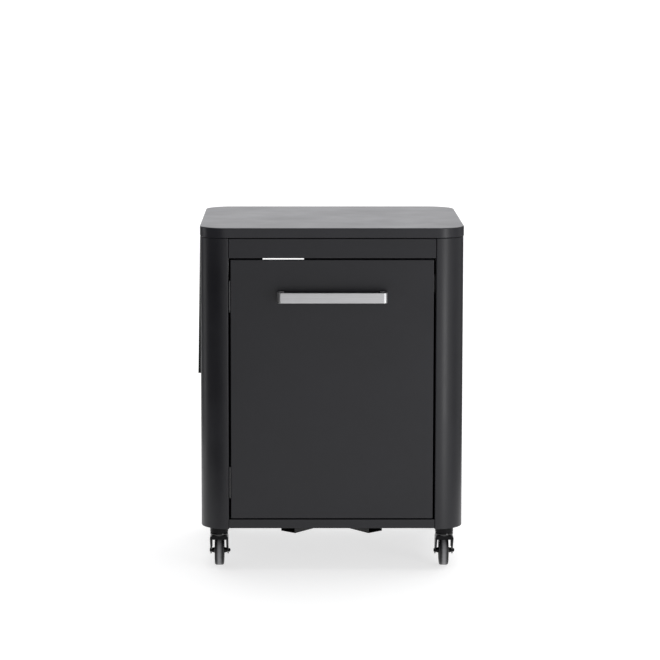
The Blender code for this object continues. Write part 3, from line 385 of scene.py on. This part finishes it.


# Hinges, catch and stops: pressed steel leaves curled round pins, black electrocoat drawn
# lighter on the hinges as a painted highlight, with countersunk screws; a nylon catch case
# with a ferrite magnet and a zinc-plated strike; rubber stops on the floor tray's lip.

PRESSED_EDGE = 0.00015     # rounding of thin pressed pieces
HINGE_LEAF = 0.001
HINGE_SCREW = 0.0021
HINGE_SCREW_RISE = 0.00015
HINGE_SCREW_END = 0.012    # from the leaf's end to its outer screws
FRAME_SETBACK = 0.0075     # from the rear edge of the frame's leaf to its screws
DOOR_SETBACK = 0.0030
SCREW_FACETS = 24
SCREW_DOME = ((1.0, 0.4), (0.86, 0.85), (0.6, 1.0))   # shares of a head's radius and rise
SCREW_SINK = 0.0001        # how far a head goes into what it holds
SOCKET_TOP = 0.46          # a socket's half width, as a share of the head's radius
SOCKET_FLOOR = 0.44
SMALL_SCREW = 0.0022
SMALL_SCREW_END = 0.006    # from the end of the strike plate or the catch to its screws
CATCH_SCREW_RISE = 0.0010
CATCH_SCREW_BACK = 0.001   # behind the middle of the catch
STRIKE_EDGE = 0.0002
CASE_EDGE = 0.0006
MAGNET_EDGE = 0.0003
STOP_EDGE = 0.0008
STOP_FACETS = 32
HANDLE_SCREW = 0.0045
HANDLE_SCREW_RISE = 0.0014
HANDLE_SCREW_END = 0.012   # from the end of the handle to its screw


def dip_coat(name, slot_name, roughness, gloss, light="161618", dark="0e0e10"):
    """Black electrocoat on pressed steel: thin and fairly glossy, with the steel's drawing marks."""
    material = new_finish(name, slot_name)
    spot = mapped(material)
    marks = add_node(material, "ShaderNodeTexNoise", Vector=spot, Scale=500.0, Detail=3.0, Roughness=0.55)
    colour = add_node(material, "ShaderNodeValToRGB", Fac=marks.outputs["Fac"])
    set_stops(colour, (0.3, dark), (0.7, light))
    sheen = add_node(material, "ShaderNodeMapRange", Value=marks.outputs["Fac"],
                     To_Min=roughness - 0.05, To_Max=roughness + 0.05)
    bump = add_node(material, "ShaderNodeBump", Height=marks.outputs["Fac"], Strength=0.05, Distance=0.0003)
    shader = add_node(material, "ShaderNodeBsdfPrincipled", Base_Color=colour.outputs["Color"],
                      Roughness=sheen.outputs["Result"], Normal=bump.outputs["Normal"], IOR=1.5,
                      Specular_IOR_Level=gloss)
    return close_finish(material, shader)


def zinc_plate(name, slot_name):
    """Electroplated zinc, clear passivated: pale grey metal with faint cloudy patches."""
    material = new_finish(name, slot_name)
    cloud = add_node(material, "ShaderNodeTexNoise", Vector=mapped(material), Scale=120.0, Detail=4.0,
                     Roughness=0.6)
    colour = add_node(material, "ShaderNodeValToRGB", Fac=cloud.outputs["Fac"])
    set_stops(colour, (0.3, "979a9e"), (0.7, "b0b1af"))
    sheen = add_node(material, "ShaderNodeMapRange", Value=cloud.outputs["Fac"], To_Min=0.26, To_Max=0.44)
    shader = add_node(material, "ShaderNodeBsdfPrincipled", Base_Color=colour.outputs["Color"],
                      Metallic=1.0, Roughness=sheen.outputs["Result"])
    return close_finish(material, shader)


def moulded(name, slot_name, light, dark, roughness, grain_mm, ior):
    """Moulded plastic or rubber with the fine eroded grain of its mould."""
    material = new_finish(name, slot_name)
    spot = mapped(material)
    grain = add_node(material, "ShaderNodeTexNoise", Vector=spot, Scale=1000 / grain_mm, Detail=3.0)
    cloud = add_node(material, "ShaderNodeTexNoise", Vector=spot, Scale=60.0, Detail=3.0)
    colour = add_node(material, "ShaderNodeValToRGB", Fac=cloud.outputs["Fac"])
    set_stops(colour, (0.3, dark), (0.7, light))
    sheen = add_node(material, "ShaderNodeMapRange", Value=cloud.outputs["Fac"],
                     To_Min=roughness - 0.06, To_Max=roughness + 0.06)
    bump = add_node(material, "ShaderNodeBump", Height=grain.outputs["Fac"], Strength=0.25, Distance=0.0003)
    shader = add_node(material, "ShaderNodeBsdfPrincipled", Base_Color=colour.outputs["Color"],
                      Roughness=sheen.outputs["Result"], Normal=bump.outputs["Normal"], IOR=ior,
                      Specular_IOR_Level=0.25)
    return close_finish(material, shader)


DIP_COAT = dip_coat("black_electrocoat_on_steel", "black_steel", 0.28, 0.1)
# The lighter tone on hinges, pins and their screws is a painted highlight; the higher gloss is real
HINGE_COAT_WITH_PAINTED_HIGHLIGHT = dip_coat("black_electrocoat_with_painted_highlight", "black_steel", 0.30, 0.5, "2c2c2e", "202022")
ZINC = zinc_plate("clear_passivated_zinc_plate", "zinc_steel")
NYLON = moulded("moulded_black_nylon", "black_plastic", "141416", "0e0e10", 0.50, 0.9, 1.53)
BLACK_RUBBER = moulded("moulded_black_rubber", "black_rubber", "29292a", "1e1e1f", 0.70, 0.8, 1.52)
FERRITE = moulded("ground_ferrite", "magnet", "2e2e30", "242426", 0.55, 0.5, 2.4)


def turned(levels, facets, ring=False):
    """Solid turned round Z. A level is a radius and a height, and a third value gives it that many sides."""
    solid = bmesh.new()
    rings = []
    for radius, height, *sides in levels:
        made = []
        for i in range(facets):
            angle = 2 * math.pi * i / facets
            reach = radius
            if sides:
                half = math.pi / sides[0]
                reach = radius / math.cos(angle % (2 * half) - half)
            made.append(solid.verts.new((reach * math.cos(angle), reach * math.sin(angle), height)))
        rings.append(made)
    for below, above in zip(rings, rings[1:] + rings[:1] if ring else rings[1:]):
        for i in range(facets):
            solid.faces.new((below[i - 1], below[i], above[i], above[i - 1]))
    if not ring:
        solid.faces.new(rings[0])
        solid.faces.new(rings[-1])
    return solid


def facing(place, way):
    """Matrix that stands a piece on a face, with its Z along the way that the face looks."""
    return Matrix.Translation(place) @ Vector(way).to_track_quat("Z", "Y").to_matrix().to_4x4()


def screw(name, place, way, radius, rise, material, body):
    """Head of a screw with a six-sided socket; a countersunk one has hardly any rise."""
    levels = [(radius, -SCREW_SINK)]
    levels += [(radius * across, rise * up) for across, up in SCREW_DOME]
    levels += [(radius * SOCKET_TOP, rise, 6), (radius * SOCKET_FLOOR, -SCREW_SINK, 6)]
    return finished(name, moved(turned(levels, SCREW_FACETS), facing(place, way)), material, body)


hinge_sides = (("frame", "cabinet", 1, FRAME_SETBACK), ("door", "door", -1, DOOR_SETBACK))
for level in ("lower", "upper"):
    for part, body, way, setback in hinge_sides:
        leaf = "hinge_" + part + "_leaf_" + level
        dress(leaf, HINGE_COAT_WITH_PAINTED_HIGHLIGHT, PRESSED_EDGE)
        low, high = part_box(leaf)
        face = high.x if way < 0 else low.x
        face += way * HINGE_LEAF
        for i, z in enumerate((low.z + HINGE_SCREW_END, (low.z + high.z) / 2, high.z - HINGE_SCREW_END)):
            screw("%s_screw_%d" % (leaf, i + 1), (face, high.y - setback, z), (way, 0, 0), HINGE_SCREW,
                  HINGE_SCREW_RISE, HINGE_COAT_WITH_PAINTED_HIGHLIGHT, body)
    dress("hinge_pin_" + level, HINGE_COAT_WITH_PAINTED_HIGHLIGHT)

dress("strike_plate", ZINC, STRIKE_EDGE)
low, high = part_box("strike_plate")
for i, z in enumerate((low.z + SMALL_SCREW_END, high.z - SMALL_SCREW_END)):
    place = ((low.x + high.x) / 2, high.y, z)
    screw("strike_screw_%d" % (i + 1), place, (0, 1, 0), SMALL_SCREW, HINGE_SCREW_RISE, ZINC, "door")
dress("catch_case", NYLON, CASE_EDGE)
low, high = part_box("catch_case")
for i, z in enumerate((low.z + SMALL_SCREW_END, high.z - SMALL_SCREW_END)):
    place = (low.x, (low.y + high.y) / 2 + CATCH_SCREW_BACK, z)
    screw("catch_screw_%d" % (i + 1), place, (-1, 0, 0), SMALL_SCREW, CATCH_SCREW_RISE, ZINC, "cabinet")
dress("catch_magnet", FERRITE, MAGNET_EDGE)

for name in ("door_stop_left", "door_stop_right"):
    low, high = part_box(name)
    middle = (low + high) / 2
    radius = (high.y - low.y) / 2
    tall = high.z - low.z
    crown = arc((radius - STOP_EDGE, tall - STOP_EDGE), STOP_EDGE, 0, 80, 4)
    stop = turned([(radius, 0.0)] + crown, STOP_FACETS)
    upright = Matrix.Translation((middle.x, middle.y, low.z))
    finished(name + "_rubber", moved(stop, upright), BLACK_RUBBER, "cabinet", [name])

low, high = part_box("door_stiffener")
grip_low, grip_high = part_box("door_handle")
for i, x in enumerate((grip_low.x + HANDLE_SCREW_END, grip_high.x - HANDLE_SCREW_END)):
    place = (x, high.y, (grip_low.z + grip_high.z) / 2)
    screw("handle_screw_%d" % (i + 1), place, (0, 1, 0), HANDLE_SCREW, HANDLE_SCREW_RISE, ZINC, "door")


# Drop-down shelf: a shallow pan of 1 mm sheet that hangs from two butt hinges, with a
# zinc-plated wire prop in two saddles, and a rest strip on the side panel for its foot.

WIRE = 0.0016              # radius
WIRE_BEND = 0.005
WIRE_BEND_STEPS = 8
WIRE_EAR = 0.012           # ends turned outwards into the saddles
SHELF_EDGE = 0.0003
SHELF_SCREW_END = 0.010    # from a hinge leaf's end to its outer screws
SHELF_SCREW_UP = 0.005     # from its lower edge
REST_EDGE = 0.0004
REST_SCREW_END = 0.015

# The shelf's darker colour is painted shade
dress("shelf_pan", MATT_COAT_WITH_PAINTED_SHADE, SHELF_EDGE)
dress("prop_rest", COAT, REST_EDGE)
for end in ("front", "rear"):
    dress("shelf_button_" + end, BLACK_RUBBER, SHELF_EDGE)
    dress("prop_saddle_" + end, ZINC, PRESSED_EDGE)
    # The shelf's pins and hinges take the same lighter tone, a painted highlight
    dress("shelf_pin_" + end, HINGE_COAT_WITH_PAINTED_HIGHLIGHT)
    leaf = "shelf_hinge_leaf_" + end
    dress(leaf, HINGE_COAT_WITH_PAINTED_HIGHLIGHT, PRESSED_EDGE)
    low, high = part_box(leaf)
    for i, y in enumerate((low.y + SHELF_SCREW_END, (low.y + high.y) / 2, high.y - SHELF_SCREW_END)):
        place = (high.x - HINGE_LEAF, y, low.z + SHELF_SCREW_UP)
        screw("%s_screw_%d" % (leaf, i + 1), place, (-1, 0, 0), HINGE_SCREW, HINGE_SCREW_RISE, HINGE_COAT_WITH_PAINTED_HIGHLIGHT,
              "cabinet")
low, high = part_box("prop_rest")
for i, y in enumerate((low.y + REST_SCREW_END, high.y - REST_SCREW_END)):
    place = (low.x, y, (low.z + high.z) / 2)
    screw("prop_rest_screw_%d" % (i + 1), place, (-1, 0, 0), HINGE_SCREW, HINGE_SCREW_RISE, COAT, "cabinet")

low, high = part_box("shelf_prop")
pivot = Vector((high.x - WIRE, 0.0, high.z - WIRE))
foot = Vector((low.x + WIRE, 0.0, low.z + WIRE))
long = (pivot - foot).length
side = [(high.y, 0.0)]
side += arc((high.y - WIRE_EAR + WIRE_BEND, -WIRE_BEND), WIRE_BEND, 90, 180, WIRE_BEND_STEPS)
side += arc((high.y - WIRE_EAR - WIRE_BEND, WIRE_BEND - long), WIRE_BEND, 0, -90, WIRE_BEND_STEPS)
route = side + [(low.y + high.y - y, z) for y, z in reversed(side)]
curve = bpy.data.curves.new("shelf_prop_wire", "CURVE")
curve.dimensions = "3D"
curve.bevel_depth = WIRE
curve.bevel_resolution = 6
curve.use_fill_caps = True
line = curve.splines.new("POLY")
line.points.add(len(route) - 1)
for point, (y, z) in zip(line.points, route):
    place = pivot.lerp(foot, -z / long)
    point.co = (place.x, y, place.z, 1.0)
line.use_smooth = True
curve.materials.append(ZINC)
wire = bpy.data.objects.new("shelf_prop_wire", curve)
bpy.context.scene.collection.objects.link(wire)
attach(wire, "prop")
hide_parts("shelf_prop")


# Castors: a pressed fork in black electrocoat, hung from one bolt under a round cap with
# the ball race between them; a black nylon wheel centre with a black rubber tyre moulded
# on, with a painted highlight as a grey band down the middle of its tread. The nut of the swivel bolt is
# inside the cabinet.

WHEEL_FACETS = 96
BOLT_FACETS = 48
SEAT_GAP = 0.0003          # between pieces that touch
TURNING_GAP = 0.0001       # round the axle, and between the wheel centre and its tyre
TYRE_CORNER = 0.0045
TYRE_CORNER_STEPS = 10
TYRE_CROWN = 0.0005        # the tread's rise to its middle
TYRE_SEAM = 0.00012        # moulding seam round the tread
SEAM_FOOT = 0.0005         # half of the seam's width at the tread and at its top
SEAM_TOP = 0.0002
TYRE_BEAD = 0.0020         # lowered band next to the wheel centre
TYRE_BEAD_DEPTH = 0.0008
RIB_COUNT = 6
RIB_SHEET = 0.0018
RIB_AT_HUB = 0.0125        # half of a rib's width at the hub and at the rim
RIB_AT_RIM = 0.0085
RIB_IN_HUB = 0.002         # how far a rib goes into the hub and into the rim
RIB_IN_RIM = 0.001
HUB_RADIUS = 0.009
HUB_END = 0.0055
HUB_EDGE = 0.0004
WEB_THICKNESS = 0.005
WEB_FILLET = 0.0015
RIM_WIDTH = 0.020
RIM_DEPTH = 0.004
RIM_DRAFT = 0.0005
RIM_EDGE = 0.0003
AXLE_RADIUS = 0.003
AXLE_HEAD = 0.0018
AXLE_NUT = 0.0034
AXLE_END = 0.0005          # chamfer of the axle's end
HEX_FLAT = 0.866           # a hexagon's flats and crown, for a radius of one to its corners
HEX_CROWN = 0.86
HEX_CHAMFER = 0.12
FORK_WIDTH = 0.045
FORK_EDGE = 0.0007
CAP_RADIUS = 0.0224
CAP_WALL = 0.0024
CAP_LOW = 0.0900           # the cap's lower edge above the floor
CAP_BOSS = 0.012           # boss of the cap round the bolt
CAP_BEND = 0.001
CAP_EDGE = 0.0006
FLANGE = 0.0025
FLANGE_EDGE = 0.0003
RACE_RADIUS = 0.0212
RACE_WALL = 0.0025
RACE_SKIN = 0.0002         # the pressed ring round the balls stands out by this much
RACE_BULGE = 0.0010        # and is rounded outwards
RACE_STEPS = 6
RACE_SINK = 0.0008         # its lower edge below the top of the fork
RACE_DROP = 0.0006         # its upper edge below the cap
BOLT_RADIUS = 0.005
BOLT_NUT = 0.0095
BOLT_NUT_HEIGHT = 0.008
BOLT_TAIL = 0.003
BOLT_END = 0.0006          # chamfer of the bolt's end
BOLT_HEAD = 0.0085         # radius of its low domed head
BOLT_HEAD_HEIGHT = 0.0025
BOLT_DOME = ((0.47, 0.0), (0.76, 0.0006), (0.94, 0.0016))   # share of the head's radius, height

RACE_STEEL = dip_coat("oiled_black_race_steel", "black_steel", 0.09, 0.6)


def tyre_rubber_with_painted_highlight(name, slot_name, rubber_black, highlight_grey, roughness):
    """Black tyre rubber with a grey band down the middle of the tread, a painted highlight."""
    material = new_finish(name, slot_name)
    across = add_node(material, "ShaderNodeTexCoord").outputs["Generated"]
    side = add_node(material, "ShaderNodeSeparateXYZ", Vector=across).outputs["X"]
    spot = mapped(material)
    band_noise = add_node(material, "ShaderNodeTexNoise", Vector=spot, Scale=150.0, Detail=4.0, Roughness=0.6)
    wobble = add_node(material, "ShaderNodeMapRange", Value=band_noise.outputs["Fac"], To_Min=-0.06, To_Max=0.06)
    shifted = add_node(material, "ShaderNodeMath", {"operation": "ADD"})
    material.node_tree.links.new(side, shifted.inputs[0])
    material.node_tree.links.new(wobble.outputs["Result"], shifted.inputs[1])
    # Painted highlight: a grey band down the middle of the tread, black towards both sides
    colour = add_node(material, "ShaderNodeValToRGB", Fac=shifted.outputs["Value"])
    colour.color_ramp.interpolation = "EASE"
    set_stops(colour, (0.18, rubber_black), (0.44, highlight_grey), (0.56, highlight_grey), (0.86, rubber_black))
    grain = add_node(material, "ShaderNodeTexNoise", Vector=spot, Scale=1000.0, Detail=3.0)
    bump = add_node(material, "ShaderNodeBump", Height=grain.outputs["Fac"], Strength=0.25, Distance=0.0003)
    sheen = add_node(material, "ShaderNodeMapRange", Value=band_noise.outputs["Fac"],
                     To_Min=roughness - 0.06, To_Max=roughness + 0.06)
    shader = add_node(material, "ShaderNodeBsdfPrincipled", Base_Color=colour.outputs["Color"],
                      Roughness=sheen.outputs["Result"], Normal=bump.outputs["Normal"], IOR=1.52,
                      Specular_IOR_Level=0.25)
    return close_finish(material, shader)


# The tyre's grey middle band is a painted highlight
TREAD_WITH_PAINTED_HIGHLIGHT = tyre_rubber_with_painted_highlight("black_tyre_rubber_with_painted_highlight", "grey_rubber", "1c1c1e", "868688", 0.42)


def tyre_ring(radius, inner, half):
    """Tyre about Z: flat sides with a bead, round corners and a slightly domed tread."""
    bead = half - TYRE_BEAD_DEPTH
    corner = half - TYRE_CORNER
    tread = radius - TYRE_SEAM
    shoulder = tread - TYRE_CROWN - TYRE_CORNER
    right = [(inner, bead), (inner + TYRE_BEAD, bead), (inner + TYRE_BEAD + TYRE_BEAD_DEPTH, half)]
    right += [(shoulder + z, corner + x) for x, z in arc((0, 0), TYRE_CORNER, 0, 90, TYRE_CORNER_STEPS)]
    for step in (0.75, 0.5, 0.25):
        right.append((tread - TYRE_CROWN * step ** 2, corner * step))
    right += [(tread, SEAM_FOOT), (radius, SEAM_TOP)]
    return turned(right + [(r, -z) for r, z in reversed(right)], WHEEL_FACETS, ring=True)


def wheel_centre(radius, half):
    """Moulded centre about Z: hub, web and rim, with ribs on both sides of the web."""
    web = WEB_THICKNESS / 2
    rim = radius - RIM_DEPTH
    edge = RIM_WIDTH / 2
    side = [(AXLE_RADIUS + TURNING_GAP, half), (HUB_END - HUB_EDGE, half), (HUB_END, half - HUB_EDGE)]
    side += [(HUB_RADIUS, web + WEB_FILLET), (HUB_RADIUS + WEB_FILLET, web)]
    side += [(rim - WEB_FILLET, web), (rim, web + WEB_FILLET), (rim + RIM_DRAFT, edge)]
    side += [(radius - RIM_EDGE, edge), (radius, edge - RIM_EDGE)]
    solid = turned(side + [(r, -z) for r, z in reversed(side)], WHEEL_FACETS, ring=True)
    near = HUB_RADIUS - RIB_IN_HUB
    far = rim + RIB_IN_RIM
    outline = [(near, -RIB_AT_HUB), (near, RIB_AT_HUB), (far, RIB_AT_RIM), (far, -RIB_AT_RIM)]
    for i in range(RIB_COUNT):
        rib = extruded(outline, -RIB_SHEET / 2, RIB_SHEET / 2, "Y")
        bmesh.ops.recalc_face_normals(rib, faces=rib.faces)
        scrap = bpy.data.meshes.new("rib")
        moved(rib, Matrix.Rotation(2 * math.pi * i / RIB_COUNT, 4, "Z")).to_mesh(scrap)
        rib.free()
        solid.from_mesh(scrap)
        bpy.data.meshes.remove(scrap)
    return solid


def hexagon(radius, low, high):
    """Levels of a nut or a bolt's head, six-sided, with turned chamfers."""
    chamfer = radius * HEX_CHAMFER
    flat = radius * HEX_FLAT
    crown = radius * HEX_CROWN
    return [(crown, low), (flat, low + chamfer, 6), (flat, high - chamfer, 6), (crown, high)]


def axle_bolt(across, reach):
    """Bolt about Z through fork and wheel: its head below, its nut above, its end at the reach."""
    seat = FORK_WIDTH / 2 + SEAT_GAP
    nut_end = seat + AXLE_NUT
    levels = hexagon(across, -seat - AXLE_HEAD, -seat)
    levels += [(AXLE_RADIUS, -seat), (AXLE_RADIUS, seat)]
    levels += hexagon(across, seat, nut_end)
    levels += [(AXLE_RADIUS, nut_end), (AXLE_RADIUS, reach - AXLE_END), (AXLE_RADIUS - AXLE_END, reach)]
    return turned(levels, BOLT_FACETS)


def ball_race(low_end, high_end):
    """Pressed ring about Z that holds the balls, rounded outwards."""
    inner = RACE_RADIUS - RACE_WALL
    half = (high_end - low_end) / 2
    levels = [(inner, low_end)]
    for i in range(-RACE_STEPS, RACE_STEPS + 1):
        swell = RACE_BULGE * (1 - (i / RACE_STEPS) ** 2)
        levels.append((RACE_RADIUS + RACE_SKIN + swell, low_end + half * (1 + i / RACE_STEPS)))
    levels.append((inner, high_end))
    return turned(levels, WHEEL_FACETS, ring=True)


def castor_cap(low_end, high_end, brim):
    """Cap about Z: a flange against the floor, a wall over the balls and a boss round the bolt."""
    bore = BOLT_RADIUS + SEAT_GAP
    under = high_end - FLANGE
    roof = under - CAP_WALL
    levels = [(bore, high_end), (bore, low_end), (CAP_BOSS - CAP_BEND, low_end)]
    levels += [(CAP_BOSS, low_end + CAP_BEND), (CAP_BOSS, roof - CAP_BEND)]
    levels += [(CAP_BOSS + CAP_BEND, roof), (CAP_RADIUS - CAP_WALL, roof)]
    levels += [(CAP_RADIUS - CAP_WALL, CAP_LOW), (CAP_RADIUS - CAP_EDGE, CAP_LOW)]
    levels += [(CAP_RADIUS, CAP_LOW + CAP_EDGE), (CAP_RADIUS, under - CAP_EDGE)]
    levels += [(CAP_RADIUS + CAP_EDGE, under), (brim - FLANGE_EDGE, under), (brim, under + FLANGE_EDGE)]
    levels.append((brim, high_end))
    return turned(levels, WHEEL_FACETS, ring=True)


def swivel_bolt(low_end, high_end):
    """Bolt about Z that the castor hangs from: its domed head below, its nut above."""
    head = low_end + BOLT_HEAD_HEIGHT
    nut_high = high_end - BOLT_TAIL
    nut_low = nut_high - BOLT_NUT_HEIGHT
    levels = [(BOLT_HEAD * share, low_end + height) for share, height in BOLT_DOME]
    levels += [(BOLT_HEAD, head), (BOLT_RADIUS, head), (BOLT_RADIUS, nut_low)]
    levels += hexagon(BOLT_NUT, nut_low, nut_high)
    levels += [(BOLT_RADIUS, nut_high), (BOLT_RADIUS, high_end - BOLT_END)]
    levels.append((BOLT_RADIUS - BOLT_END, high_end))
    return turned(levels, BOLT_FACETS)


for end in ("front", "rear"):
    for hand in ("left", "right"):
        name = end + "_" + hand
        castor = "castor_" + name
        wheel = "wheel_" + name
        low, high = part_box("castor_tyre_" + name)
        axle = (low + high) / 2
        lay = Matrix.Translation(axle) @ Matrix.Rotation(math.pi / 2, 4, "Y")
        core_low, core_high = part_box("castor_wheel_" + name)
        rim = (core_high.z - core_low.z) / 2
        tyre = tyre_ring((high.z - low.z) / 2, rim, (high.x - low.x) / 2)
        finished("tyre_" + name, moved(tyre, lay), TREAD_WITH_PAINTED_HIGHLIGHT, wheel, ["castor_tyre_" + name])
        core = wheel_centre(rim - TURNING_GAP, (core_high.x - core_low.x) / 2)
        finished("wheel_centre_" + name, moved(core, lay), NYLON, wheel, ["castor_wheel_" + name])

        # The nut is at the axle's longer end, the head at the other
        low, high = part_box("castor_axle_" + name)
        nut_way = 1 if high.x - axle.x > axle.x - low.x else -1
        lay = Matrix.Translation(axle) @ Matrix.Rotation(nut_way * math.pi / 2, 4, "Y")
        bolt = axle_bolt((high.z - low.z) / 2, max(high.x - axle.x, axle.x - low.x))
        finished("axle_bolt_" + name, moved(bolt, lay), DIP_COAT, castor, ["castor_axle_" + name])

        dress("castor_fork_" + name, DIP_COAT, FORK_EDGE)
        low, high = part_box("castor_plate_" + name)
        middle = (low + high) / 2
        upright = Matrix.Translation((middle.x, middle.y, 0.0))
        fork_top = low.z - SEAT_GAP
        race = ball_race(fork_top - RACE_SINK, CAP_LOW - RACE_DROP)
        finished("ball_race_" + name, moved(race, upright), RACE_STEEL, castor)
        cap = castor_cap(low.z, high.z, (high.x - low.x) / 2)
        finished("castor_cap_" + name, moved(cap, upright), DIP_COAT, "cabinet", ["castor_plate_" + name])
        low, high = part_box("castor_pin_" + name)
        bolt = swivel_bolt(low.z, high.z)
        finished("swivel_bolt_" + name, moved(bolt, upright), ZINC, "cabinet", ["castor_pin_" + name])


# Studio: a wide pale floor, an even pale surround that is brighter behind the table than
# in front of it, soft light from above, a low soft light at the right, and dark cards at
# both sides that the round columns mirror.

FLOOR_REACH = 200.0
FLOOR_GLOW = 0.68
BACK_WAY = (-0.17, 0.985, 0.0)   # the surround is brightest this way
BACK_START = 0.70                # cosines between which it brightens
BACK_END = 0.96
BACK_STRENGTH = 1.25
FRONT_STRENGTH = 0.23
SEEN_STRENGTH = 1.1              # added where it is seen directly
STRIP_PLACE = Vector((1.10, -1.38, 0.42))
STRIP_AIM = Vector((0.25, -0.25, 0.42))
CARD_HEIGHT = 1.3
CARD_RIGHT = 1.0
CARD_LEFT = -1.3


def studio_paint(name, colour, roughness, glow):
    """Plain matt surface with an even glow of its own."""
    material = bpy.data.materials.new(name)
    material.use_nodes = True
    surface = material.node_tree.nodes["Principled BSDF"]
    surface.inputs["Base Color"].default_value = srgb(colour)
    surface.inputs["Roughness"].default_value = roughness
    surface.inputs["Emission Color"].default_value = srgb("ffffff")
    surface.inputs["Emission Strength"].default_value = glow
    return material


def studio_sheet(name, corners, material):
    """Flat sheet between four corners."""
    mesh = bpy.data.meshes.new(name)
    mesh.from_pydata(corners, [], [(0, 1, 2, 3)])
    mesh.materials.append(material)
    sheet = bpy.data.objects.new(name, mesh)
    bpy.context.scene.collection.objects.link(sheet)
    return sheet


def lying(left, front, right, back, height):
    """Corners of a level rectangle."""
    return [(left, front, height), (right, front, height), (right, back, height), (left, back, height)]


def standing(x, near, far):
    """Corners of an upright rectangle that faces along X."""
    return [(x, near, 0.0), (x, far, 0.0), (x, far, CARD_HEIGHT), (x, near, CARD_HEIGHT)]


def dark_card(name, corners, glow):
    """Dark card that shows only as a reflection."""
    card = studio_sheet(name, corners, studio_paint(name + "_felt", "101010", 0.95, glow))
    card.visible_camera = False
    card.visible_diffuse = False
    card.visible_shadow = False


floor_paint = studio_paint("pale_studio_floor", "c4c4c4", 0.9, FLOOR_GLOW)
floor_corners = lying(-FLOOR_REACH, -FLOOR_REACH, FLOOR_REACH, FLOOR_REACH, 0.0)
floor = studio_sheet("studio_floor", floor_corners, floor_paint)

world = bpy.data.worlds.new("studio_surround")
bpy.context.scene.world = world
world.use_nodes = True
background = world.node_tree.nodes["Background"]
background.inputs["Color"].default_value = srgb("fcfcff")
look = add_node(world, "ShaderNodeTexCoord").outputs["Generated"]
towards = add_node(world, "ShaderNodeVectorMath", {"operation": "DOT_PRODUCT"}, Vector=look)
towards.inputs[1].default_value = BACK_WAY
fade = add_node(world, "ShaderNodeMapRange", {"interpolation_type": "SMOOTHSTEP"},
                Value=towards.outputs["Value"], From_Min=BACK_START, From_Max=BACK_END,
                To_Min=FRONT_STRENGTH, To_Max=BACK_STRENGTH)
seen = add_node(world, "ShaderNodeLightPath").outputs["Is Camera Ray"]
strength = add_node(world, "ShaderNodeMath", {"operation": "MULTIPLY_ADD"})
strength.inputs[1].default_value = SEEN_STRENGTH
world.node_tree.links.new(seen, strength.inputs[0])
world.node_tree.links.new(fade.outputs["Result"], strength.inputs[2])
world.node_tree.links.new(strength.outputs["Value"], background.inputs["Strength"])

sun = bpy.data.lights.new("overhead_soft_light", "SUN")
sun.energy = 2.0
sun.angle = math.radians(70)
overhead = bpy.data.objects.new("overhead_soft_light", sun)
bpy.context.scene.collection.objects.link(overhead)
overhead.rotation_euler = (math.radians(-25), math.radians(10), 0.0)

# The strip's top stays below the worktop, so that the sheet doesn't mirror it from behind
strip = bpy.data.lights.new("right_strip_light", "AREA")
strip.shape = "RECTANGLE"
strip.size = 0.24
strip.size_y = 0.84
strip.energy = 4.2
strip_light = bpy.data.objects.new("right_strip_light", strip)
bpy.context.scene.collection.objects.link(strip_light)
strip_light.location = STRIP_PLACE
strip_light.rotation_euler = (STRIP_AIM - STRIP_PLACE).to_track_quat("-Z", "Y").to_euler()
strip_light.visible_camera = False

dark_card("right_card_near", standing(CARD_RIGHT, -0.46, 0.30), 0.50)
dark_card("right_card_far", standing(CARD_RIGHT, 0.30, 2.60), 0.14)
dark_card("left_card_near", standing(CARD_LEFT, -3.20, 0.00), 0.03)
dark_card("left_card_far", standing(CARD_LEFT, 0.40, 1.90), 0.04)
dark_card("left_floor_card", lying(-4.0, -4.5, -0.5, -0.6, 0.02), 0.25)

bpy.context.scene.view_settings.view_transform = "Standard"

lens = bpy.data.cameras.new("studio_camera")
lens.sensor_width = 36.0
lens.lens = 139.1
lens.shift_x = 0.0439
lens.shift_y = -0.1144
lens.clip_end = 1000.0
camera = bpy.data.objects.new("studio_camera", lens)
bpy.context.scene.collection.objects.link(camera)
camera.location = (-0.0717, -6.4381, 1.4945)
camera.rotation_euler = (math.radians(90 - 6.55), 0.0, 0.0)
bpy.context.scene.camera = camera
